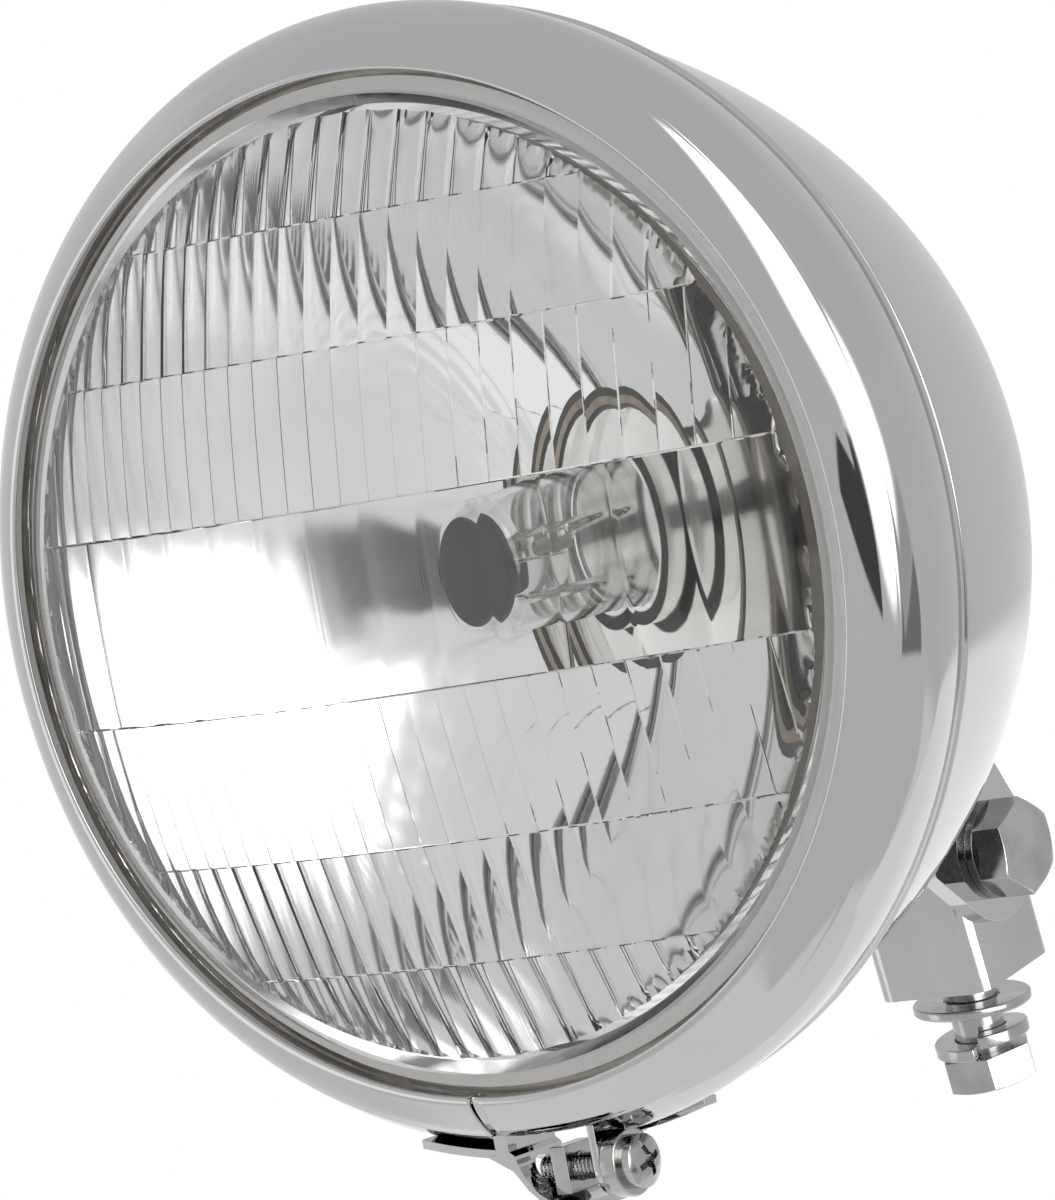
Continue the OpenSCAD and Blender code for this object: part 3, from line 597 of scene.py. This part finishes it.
sealant, tree, shader = new_material("sealant")
tone = add_noise(tree, 140, 5)
radius, depth = lamp_place(tree)
BEAD_LINE, BEAD_WANDER = 1.3, 1.2
wander = math_node(tree, "MULTIPLY_ADD", tone, BEAD_WANDER, radius)
lines = math_node(tree, "SINE", math_node(tree, "MULTIPLY", wander, 2 * math.pi / BEAD_LINE))
streak = math_node(tree, "MULTIPLY_ADD", lines, 0.16, tone)
tree.links.new(
    ramp_between(tree, streak, (0.35, 0.7), ((0.42, 0.35, 0.29), (0.78, 0.70, 0.61))),
    shader.inputs["Base Color"],
)
shader.inputs["Metallic"].default_value = 0.8
shader.inputs["Roughness"].default_value = 0.55
add_bump(tree, shader, tone, 0.4, 0.0004)
bead_front = SEAL_FRONT + 0.01
bead = spin_section(
    "sealant_bead",
    [(SEAL_IN, bead_front), (UNIT_R, bead_front), (UNIT_R, SEAL_BACK), (SEAL_IN, SEAL_BACK)],
    256,
)
dress(bead, sealant, "head", "sealant", "rim_sealant")

# Reflector: a deep dish of steel, vacuum coated with aluminium inside, with a neck for the
# bulb. Its flange lies under the sealant.
FOCAL, REFLECTOR_WALL, BULB_HOLE_R, NECK_L = 23.0, 0.8, 19.0, 5.5
NECK_LIP, DISH_EDGE = 2.0, UNIT_R + 0.4
mirror_r = DOME_R - 1
mirror_back = SEAL_BACK + mirror_r**2 / 4 / FOCAL
neck_front = mirror_back - BULB_HOLE_R**2 / 4 / FOCAL
neck_back = neck_front + NECK_L


def dish(radius, skin):
    """A point of the dish's inner skin, or of one that lies behind it."""
    slant = math.hypot(2 * FOCAL, radius)
    depth = mirror_back - radius**2 / 4 / FOCAL
    return radius + skin * radius / slant, depth + skin * 2 * FOCAL / slant


neck_out = BULB_HOLE_R + REFLECTOR_WALL
front = [(DISH_EDGE, SEAL_BACK), (mirror_r + 0.4, SEAL_BACK)]
front += [dish(r, 0) for r in np.linspace(mirror_r, BULB_HOLE_R + 0.6, 100)]
front += [(BULB_HOLE_R + 0.18, neck_front + 0.5), (BULB_HOLE_R, neck_front + 1), (BULB_HOLE_R, neck_back)]
back = [(BULB_HOLE_R + NECK_LIP, neck_back), (BULB_HOLE_R + NECK_LIP, neck_back - 1)]
back += [(neck_out, neck_back - 1), (neck_out, neck_front + 1.2)]
back += [dish(r, REFLECTOR_WALL) for r in np.linspace(BULB_HOLE_R + 0.4, mirror_r, 60)]
back += [(DISH_EDGE, SEAL_BACK + REFLECTOR_WALL)]
reflector = spin_section("reflector_dish", front + back, 256, 20)
HAZY, CLEAR, HAZE_FROM, HAZE_TO = 0.12, 0.025, -0.045, -0.012
mirror, tree, shader = new_material("reflector_mirror")
shader.inputs["Metallic"].default_value = 1
tone = add_noise(tree, 20, 2)
tree.links.new(
    ramp_between(tree, tone, (0.35, 0.65), ((0.86, 0.86, 0.855), (0.9, 0.9, 0.895))),
    shader.inputs["Base Color"],
)
side_parts = tree.nodes.new("ShaderNodeSeparateXYZ")
tree.links.new(tree.nodes.new("ShaderNodeTexCoord").outputs["Object"], side_parts.inputs[0])
haze = smooth_range(tree, side_parts.outputs["X"], HAZE_FROM, HAZE_TO)
tree.links.new(blend_value(tree, haze, HAZY, CLEAR), shader.inputs["Roughness"])
dress(reflector, mirror, "head", "reflector_mirror", "reflector")
bare_edge, tree, shader = new_material("reflector_bare_edge")
tone = add_noise(tree, 300, 4)
tree.links.new(
    ramp_between(tree, tone, (0.3, 0.7), ((0.34, 0.28, 0.22), (0.54, 0.46, 0.38))),
    shader.inputs["Base Color"],
)
shader.inputs["Metallic"].default_value = 0.8
shader.inputs["Roughness"].default_value = 0.45
# Neck shade: a dark material painted as shade on the reflector round the bulb hole.
neck_shade, tree, shader = new_material("neck_shade")
tone = add_noise(tree, 300, 4)
tree.links.new(
    ramp_between(tree, tone, (0.3, 0.7), ((0.04, 0.036, 0.03), (0.08, 0.07, 0.06))),
    shader.inputs["Base Color"],
)
shader.inputs["Roughness"].default_value = 0.4
reflector.data.materials.append(bare_edge)
reflector.data.materials.append(neck_shade)
# Near the hole a ring of faces gets the bare edge; the thin line just outside it and the neck's front lip get
# painted shade.
BARE_R, BARE_LINE = 20.7, 0.6
for face in reflector.data.polygons:
    radius, depth = face_place(face)
    if radius < BARE_R + BARE_LINE and depth <= neck_front + 1:
        face.material_index = 1 if BULB_HOLE_R + 0.6 < radius < BARE_R else 2

# Bulb glass: a clear quartz-like tube whose front end is painted black, so that no light
# goes straight forward.
BULB_R, BULB_WALL, BULB_L, FLANGE_T = 8.3, 0.9, 45.0, 1.2
base_back = neck_back + FLANGE_T
bulb_tip = base_back - BULB_L
TIP_NOSE, PAINT_R = 3.0, 6.3


def bulb_side(skin, back):
    r = BULB_R - skin
    nose = [
        (r - TIP_NOSE + TIP_NOSE * math.sin(a), bulb_tip + skin + TIP_NOSE - TIP_NOSE * math.cos(a))
        for a in np.linspace(0.02, math.pi / 2, 14)
    ]
    return [(0.05, bulb_tip + skin)] + nose + [(r, back)]


tube_back = base_back - 10
bulb = spin_section("bulb_tube", bulb_side(0, tube_back) + bulb_side(BULB_WALL, tube_back)[::-1], 96)
bulb_glass, tree, shader = glass_material("bulb_glass", (0.99, 0.99, 0.99), 0)
dress(bulb, bulb_glass, "head", "bulb_glass", "bulb_glass")
tip_paint, tree, shader = new_material("tip_paint")
shader.inputs["Base Color"].default_value = (0.03, 0.032, 0.034, 1)
shader.inputs["Roughness"].default_value = 0.4
bulb.data.materials.append(tip_paint)
for face in bulb.data.polygons:
    face.material_index = int(face_place(face)[0] < PAINT_R)

# Filaments: two tungsten coils on the bulb's axis, the dip one in front. Each is a close
# spiral of fine wire that its supports hold by the ends.
FILAMENT_R, FILAMENT_L, COIL_TURNS, COIL_WIRE_R = 0.8, 5.0, 11, 0.14
MAIN_PLACE, DIP_PLACE = (0.6, 17.0), (1.4, 9.0)
tungsten = metal_material("tungsten", (0.34, 0.31, 0.27), (0.42, 0.38, 0.32), 0.3, 0.45, 4000, 0, 900)
coil_sizes = {
    "Radius": (FILAMENT_R - COIL_WIRE_R) / 1000, "Length": FILAMENT_L / 1000,
    "Turns": float(COIL_TURNS), "Wire radius": COIL_WIRE_R / 1000,
    "Height": 0.0, "Start": 0.0, "Points a turn": 20, "Wire sides": 8,
}
tree, given = new_tree("filament_coil", coil_sizes)
spiral = tree.nodes.new("GeometryNodeCurveSpiral")
for label, source in (
    ("Resolution", "Points a turn"), ("Rotations", "Turns"), ("Start Radius", "Radius"),
    ("End Radius", "Radius"), ("Height", "Length"),
):
    tree.links.new(given[source], spiral.inputs[label])
wire_round = tree.nodes.new("GeometryNodeCurvePrimitiveCircle")
tree.links.new(given["Wire sides"], wire_round.inputs["Resolution"])
tree.links.new(given["Wire radius"], wire_round.inputs["Radius"])
wire = tree.nodes.new("GeometryNodeCurveToMesh")
wire.inputs["Fill Caps"].default_value = True
tree.links.new(spiral.outputs[0], wire.inputs["Curve"])
tree.links.new(wire_round.outputs[0], wire.inputs["Profile Curve"])
x, z, y = point_parts(tree)
y = math_node(tree, "ADD", y, given["Start"])
z = math_node(tree, "ADD", z, given["Height"])
end_tree(tree, set_place(tree, wire.outputs[0], x, y, z), tungsten)
for name, (above_axis, behind_tip) in (("main_filament", MAIN_PLACE), ("dip_filament", DIP_PLACE)):
    coil_sizes["Height"] = (AXIS_HEIGHT + above_axis) / 1000
    coil_sizes["Start"] = (bulb_tip + behind_tip - LIP_REACH) / 1000
    coil = grown_piece(name + "_coil", tree, coil_sizes, 60)
    dress(coil, tungsten, "head", "filament", name)

# Filament supports and dip shield: nickel wires welded to the bulb's foot, and a small cup
# under the dip filament that keeps its light out of the reflector's lower half.
def rounded_copy(node, name, width_mm, smooth_angle=40, segments=3):
    """A node's own form with whole faces, its sharp edges rounded by a small width."""
    piece = bpy.data.objects.new(name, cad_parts[node].data.copy())
    bpy.context.scene.collection.objects.link(piece)
    shape = bmesh.new()
    shape.from_mesh(piece.data)
    bmesh.ops.remove_doubles(shape, verts=shape.verts, dist=2e-6)
    bmesh.ops.dissolve_limit(
        shape, angle_limit=math.radians(0.7), use_dissolve_boundaries=False,
        verts=shape.verts, edges=shape.edges,
    )
    for face in shape.faces:
        face.smooth = True
    for edge in shape.edges:
        edge.smooth = len(edge.link_faces) != 2 or edge.calc_face_angle(0) < math.radians(smooth_angle)
    shape.to_mesh(piece.data)
    shape.free()
    edge = piece.modifiers.new("edge", "BEVEL")
    edge.width = width_mm / 1000
    edge.segments = segments
    edge.limit_method = "ANGLE"
    edge.angle_limit = math.radians(smooth_angle)
    even = piece.modifiers.new("even", "WEIGHTED_NORMAL")
    even.weight = 90
    graph = bpy.context.evaluated_depsgraph_get()
    piece.data = bpy.data.meshes.new_from_object(piece.evaluated_get(graph), depsgraph=graph)
    piece.modifiers.clear()
    for face in piece.data.polygons:
        face.material_index = 0
    return piece


nickel = metal_material("nickel", (0.84, 0.83, 0.81), (0.9, 0.89, 0.87), 0.08, 0.18, 1500, 0.05, 300)
for node, width in (("filament_supports", 0.05), ("dip_shield", 0.08)):
    dress(rounded_copy(node, node + "_part", width), nickel, "head", "bulb_metal", node)

# Bulb base: a steel collar with a round flange, pressed together and plated. Three tabs at
# the flange's edge set the bulb's angle. The collar's front face is dark, and painted shade
# darkens the collar's root and the flange round it.
COLLAR_L, DARK_RING_R, ROOT_SHADE_L = 11.0, 11.9, 1.6
base_metal, tree, shader = new_material("bulb_base_metal")
shader.inputs["Metallic"].default_value = 1
radius, depth = lamp_place(tree)
past_bulb = smooth_range(tree, radius, BULB_R + 0.5, BULB_R + 0.8)
past_dark_ring = smooth_range(tree, radius, DARK_RING_R - 0.2, DARK_RING_R + 0.2)
inner = math_node(tree, "SUBTRACT", past_bulb, past_dark_ring)
collar_front, root_shade_start = base_back - COLLAR_L, neck_back - ROOT_SHADE_L
behind_face = smooth_range(tree, depth, collar_front + 0.3, collar_front + 0.6)
at_flange = smooth_range(tree, depth, root_shade_start - 0.2, root_shade_start + 0.2)
plain_side = math_node(tree, "MULTIPLY", behind_face, math_node(tree, "SUBTRACT", 1, at_flange))
# Dark on the collar's front face; painted shade on the collar's last 1.6 mm and the flange round it.
dark_face_and_painted_shade = math_node(tree, "MULTIPLY", inner, math_node(tree, "SUBTRACT", 1, plain_side))
tree.links.new(
    ramp_between(tree, dark_face_and_painted_shade, (0, 1), ((0.88, 0.87, 0.85), (0.035, 0.031, 0.028))),
    shader.inputs["Base Color"],
)
grain = add_noise(tree, 1500, 6)
tree.links.new(math_node(tree, "MULTIPLY_ADD", grain, 0.12, 0.08), shader.inputs["Roughness"])
base = rounded_copy("bulb_base", "bulb_base_part", 0.2)
dress(base, base_metal, "head", "bulb_metal", "bulb_base")

# Back of the bulb: a moulded insulator that holds three brass blades, a wire spring over the
# flange, and a rubber boot that keeps water out.
plastic, tree, shader = new_material("moulded_insulator")
grain = add_noise(tree, 700, 4)
tree.links.new(
    ramp_between(tree, grain, (0.3, 0.7), ((0.03, 0.03, 0.031), (0.055, 0.054, 0.054))),
    shader.inputs["Base Color"],
)
shader.inputs["Roughness"].default_value = 0.5
add_bump(tree, shader, grain, 0.3, 0.0001)
brass = metal_material("brass", (0.62, 0.47, 0.2), (0.7, 0.55, 0.26), 0.2, 0.35, 1200, 0.08, 200)
spring_steel = metal_material(
    "spring_steel", (0.2, 0.2, 0.21), (0.28, 0.28, 0.29), 0.25, 0.4, 1500, 0.1, 200
)
rubber, tree, shader = new_material("black_rubber")
grain = add_noise(tree, 900, 5)
tree.links.new(
    ramp_between(tree, grain, (0.3, 0.75), ((0.012, 0.012, 0.012), (0.03, 0.029, 0.028))),
    shader.inputs["Base Color"],
)
tree.links.new(math_node(tree, "MULTIPLY_ADD", grain, 0.2, 0.5), shader.inputs["Roughness"])
add_bump(tree, shader, grain, 0.25, 0.00015)
for node, material, slot_name, width in (
    ("bulb_insulator", plastic, "insulator", 0.3),
    ("bulb_terminals", brass, "brass", 0.1),
    ("bulb_spring", spring_steel, "spring_steel", 0.05),
    ("bulb_boot", rubber, "black_rubber", 0.35),
):
    dress(rounded_copy(node, node + "_part", width), material, "head", slot_name, node)

# Unit clips: six bent strips of spring steel that press the light unit against the lip.
clips = rounded_copy("unit_clips", "unit_clips_part", 0.12)
dress(clips, spring_steel, "head", "spring_steel", "unit_clips")

# Wire grommet: a rubber ring with two lips in the hole at the bucket's back.
grommet = rounded_copy("wire_grommet", "wire_grommet_part", 0.4)
dress(grommet, rubber, "head", "black_rubber", "wire_grommet")

# Ring lugs: two tongues of chromed steel strip, spot-welded under the ring on either side of
# its split. The clamp screw draws them together.
for node in ("ring_lug_right", "ring_lug_left"):
    dress(rounded_copy(node, node + "_part", 0.22), chrome, "head", "chrome", node)

# Clamp hardware: a pan head screw with a cross recess, a collar under its head and a square
# nut in the right lug's curl, all bright zinc.
CLAMP_DROP, CLAMP_DEPTH, CLAMP_R, CLAMP_PITCH, CLAMP_SEAT = 83.8, 9.5, 2.0, 0.7, 12.8
zinc = metal_material("bright_zinc", (0.4, 0.4, 0.395), (0.5, 0.5, 0.49), 0.1, 0.2, 1400, 0.05, 160)


def thread_tree(name, sizes, material):
    """A round rod along Z with a V thread cut in it and both its ends chamfered."""
    tree, given = new_tree(name, sizes)
    rod = tree.nodes.new("GeometryNodeMeshCylinder")
    for label, source in (
        ("Vertices", "Sides"), ("Side Segments", "Rings"), ("Radius", "Radius"), ("Depth", "Length"),
    ):
        tree.links.new(given[source], rod.inputs[label])
    x, y, z = point_parts(tree)
    around = math_node(tree, "DIVIDE", math_node(tree, "ARCTAN2", y, x), 2 * math.pi)
    phase = math_node(tree, "SUBTRACT", math_node(tree, "DIVIDE", z, given["Pitch"]), around)
    wave = math_node(tree, "MULTIPLY_ADD", math_node(tree, "FRACT", phase), 2, -1)
    flank = math_node(tree, "MULTIPLY", math_node(tree, "ABSOLUTE", wave), 1.3)
    root = math_node(tree, "SUBTRACT", given["Radius"], given["Thread depth"])
    from_end = math_node(tree, "MULTIPLY", given["Length"], 0.5)
    from_end = math_node(tree, "SUBTRACT", from_end, math_node(tree, "ABSOLUTE", z))
    cut = math_node(tree, "MULTIPLY_ADD", flank, given["Thread depth"], root)
    cut = math_node(tree, "MINIMUM", cut, given["Radius"])
    cut = math_node(tree, "MINIMUM", cut, math_node(tree, "ADD", root, from_end))
    spread = math_node(tree, "SQRT", math_node(
        tree, "MULTIPLY_ADD", x, x, math_node(tree, "MULTIPLY", y, y)
    ))
    scale = math_node(tree, "DIVIDE", cut, math_node(tree, "MAXIMUM", spread, 1e-6))
    x, y = (math_node(tree, "MULTIPLY", value, scale) for value in (x, y))
    end_tree(tree, set_place(tree, rod.outputs["Mesh"], x, y, z), material)
    return tree


def threaded_rod(name, tree, radius, pitch, length, place):
    """One threaded rod, its sizes in millimetres, moved to its place."""
    sizes = {
        "Radius": radius / 1000, "Length": length / 1000, "Pitch": pitch / 1000,
        "Thread depth": 0.6 * pitch / 1000, "Rings": int(8 * length / pitch), "Sides": 40,
    }
    rod = grown_piece(name, tree, sizes, 35)
    rod.data.transform(place)
    return rod


rod_sizes = {
    "Radius": 0.002, "Length": 0.01, "Pitch": 0.001, "Thread depth": 0.0005, "Rings": 80, "Sides": 40,
}
thread = thread_tree("threaded_rod", rod_sizes, zinc)


def part_beyond(piece, point, normal):
    """Cuts a piece off by a plane and keeps the side that the normal points to, closed."""
    shape = bmesh.new()
    shape.from_mesh(piece.data)
    cut = bmesh.ops.bisect_plane(
        shape, geom=shape.verts[:] + shape.edges[:] + shape.faces[:],
        plane_co=point, plane_no=normal, clear_inner=True,
    )["geom_cut"]
    bmesh.ops.contextual_create(shape, geom=[e for e in cut if isinstance(e, bmesh.types.BMEdge)])
    shape.to_mesh(piece.data)
    shape.free()


clamp_line = Matrix.Translation(
    (0, (CLAMP_DEPTH - LIP_REACH) / 1000, (AXIS_HEIGHT - CLAMP_DROP) / 1000)
)
screw_head = rounded_copy("clamp_screw", "clamp_screw_head", 0.22)
part_beyond(screw_head, ((CLAMP_SEAT + 0.02) / 1000, 0, 0), (1, 0, 0))
dress(screw_head, zinc, "head", "zinc", "clamp_screw")
CLAMP_START = -2.6
clamp_l = CLAMP_SEAT - CLAMP_START + 0.5
clamp_middle = Matrix.Translation(((CLAMP_START + clamp_l / 2) / 1000, 0, 0))
clamp_thread = threaded_rod(
    "clamp_screw_thread", thread, CLAMP_R, CLAMP_PITCH, clamp_l,
    clamp_line @ clamp_middle @ Matrix.Rotation(math.pi / 2, 4, "Y"),
)
dress(clamp_thread, zinc, "head", "zinc")
for node, width in (("clamp_collar", 0.35), ("clamp_nut", 0.2)):
    dress(rounded_copy(node, node + "_part", width), zinc, "head", "zinc", node)

# Mount bracket: one strip of 3 mm steel folded to two ears and a web, welded under the
# bucket and chromed with it.
bracket = rounded_copy("mount_bracket", "mount_bracket_part", 0.45)
dress(bracket, chrome, "head", "chrome", "mount_bracket")

# Pivot: a hexagon bolt through both ears and the block, with a nut and a spring washer at
# each side. The lamp tilts on it once the nut is loosened.
LEAN, PIVOT_UP, PIVOT_FWD = math.radians(9.3), 20.4, 3.6
BOLT_R, BOLT_PITCH, PIVOT_TAIL, NUT_FACE = 3.95, 1.25, 23.4, 21.4
dark_steel = metal_material(
    "dark_steel", (0.09, 0.09, 0.09), (0.22, 0.22, 0.22), 0.12, 0.25, 1500, 0.08, 200
)
pivot_y = -(PIVOT_FWD * math.cos(LEAN) + PIVOT_UP * math.sin(LEAN))
pivot_z = PIVOT_UP * math.cos(LEAN) - PIVOT_FWD * math.sin(LEAN)
pivot_bolt = rounded_copy("pivot_bolt", "pivot_bolt_head", 0.3)
part_beyond(pivot_bolt, (-NUT_FACE / 1000, 0, 0), (1, 0, 0))
dress(pivot_bolt, zinc, "head", "zinc", "pivot_bolt")
TAIL_IN = 3.0
tail_l = PIVOT_TAIL - NUT_FACE + TAIL_IN
tail_middle = -(NUT_FACE - TAIL_IN + tail_l / 2)
tail_place = Matrix.Translation((tail_middle / 1000, pivot_y / 1000, pivot_z / 1000))
pivot_thread = threaded_rod(
    "pivot_bolt_thread", thread, BOLT_R, BOLT_PITCH, tail_l,
    tail_place @ Matrix.Rotation(math.pi / 2, 4, "Y"),
)
dress(pivot_thread, zinc, "head", "zinc")
dress(rounded_copy("pivot_nut", "pivot_nut_part", 0.3), zinc, "head", "zinc", "pivot_nut")
pivot_washers = rounded_copy("pivot_washers", "pivot_washers_part", 0.2)
dress(pivot_washers, dark_steel, "head", "dark_steel", "pivot_washers")

# Mount block: a block of steel milled square, with a rounded head for the pivot, plated. The
# mount bolt screws into its bottom.
satin_chrome = metal_material(
    "satin_chrome", (0.5, 0.505, 0.505), (0.55, 0.553, 0.55), 0.06, 0.12, 1600, 0.03, 60
)
block = rounded_copy("mount_block", "mount_block_part", 0.35)
dress(block, satin_chrome, "mount", "satin_chrome", "mount_block")

# Mount bolt and washers: a hexagon bolt that holds the block on the motorcycle, with a flat
# washer and a spring washer that hang loose until it is tightened.
mount_pieces = [block, pivot_bolt]
for node, width in (("mount_bolt", 0.85), ("mount_flat_washer", 0.4), ("mount_spring_washer", 0.3)):
    piece = rounded_copy(node, node + "_part", width)
    dress(piece, zinc, "mount", "zinc", node)
    mount_pieces.append(piece)

# Low panel: a soft lamp close to the mount's left. It lights the block and its bolts alone and
# gives the block's upright edge and the bolt head's flat their white reflections.
PANEL_FROM = Vector((0.36, -0.1, -0.05))
PANEL_W, PANEL_H, PANEL_POWER = 0.34, 0.15, 0.55
panel_light = bpy.data.lights.new("low_panel", "AREA")
panel_light.shape = "RECTANGLE"
panel_light.size, panel_light.size_y = PANEL_W, PANEL_H
panel_light.energy = PANEL_POWER
low_panel = bpy.data.objects.new("low_panel", panel_light)
bpy.context.scene.collection.objects.link(low_panel)
low_panel.location = PANEL_FROM
low_panel.rotation_euler = PANEL_FROM.to_track_quat("Z", "Y").to_euler()
low_panel.visible_camera = False
low_panel.visible_transmission = False
lit_pieces = bpy.data.collections.new("lit_by_low_panel")
for piece in mount_pieces:
    lit_pieces.objects.link(piece)
low_panel.light_linking.receiver_collection = lit_pieces

# Floor: white to the camera from above and clear from below and in reflections, because the
# lamp hangs on its mount well above it.
FLOOR_DROP, FLOOR_SIDE = 0.3, 12.0
floor_mesh = bpy.data.meshes.new("floor")
side = FLOOR_SIDE / 2
corners = [(x * side, y * side, -FLOOR_DROP) for x, y in ((-1, -1), (1, -1), (1, 1), (-1, 1))]
floor_mesh.from_pydata(corners, [], [(0, 1, 2, 3)])
floor = bpy.data.objects.new("floor", floor_mesh)
bpy.context.scene.collection.objects.link(floor)
floor_paint = bpy.data.materials.new("floor_white")
floor_paint.use_nodes = True
tree = floor_paint.node_tree
tree.nodes.clear()
shown = tree.nodes.new("ShaderNodeLightPath").outputs["Is Camera Ray"]
below = tree.nodes.new("ShaderNodeNewGeometry").outputs["Backfacing"]
shown = math_node(tree, "MULTIPLY", shown, math_node(tree, "SUBTRACT", 1, below))
white = tree.nodes.new("ShaderNodeEmission")
clear = tree.nodes.new("ShaderNodeBsdfTransparent")
blend = tree.nodes.new("ShaderNodeMixShader")
tree.links.new(shown, blend.inputs[0])
tree.links.new(clear.outputs[0], blend.inputs[1])
tree.links.new(white.outputs[0], blend.inputs[2])
tree.links.new(blend.outputs[0], tree.nodes.new("ShaderNodeOutputMaterial").inputs["Surface"])
floor_mesh.materials.append(floor_paint)
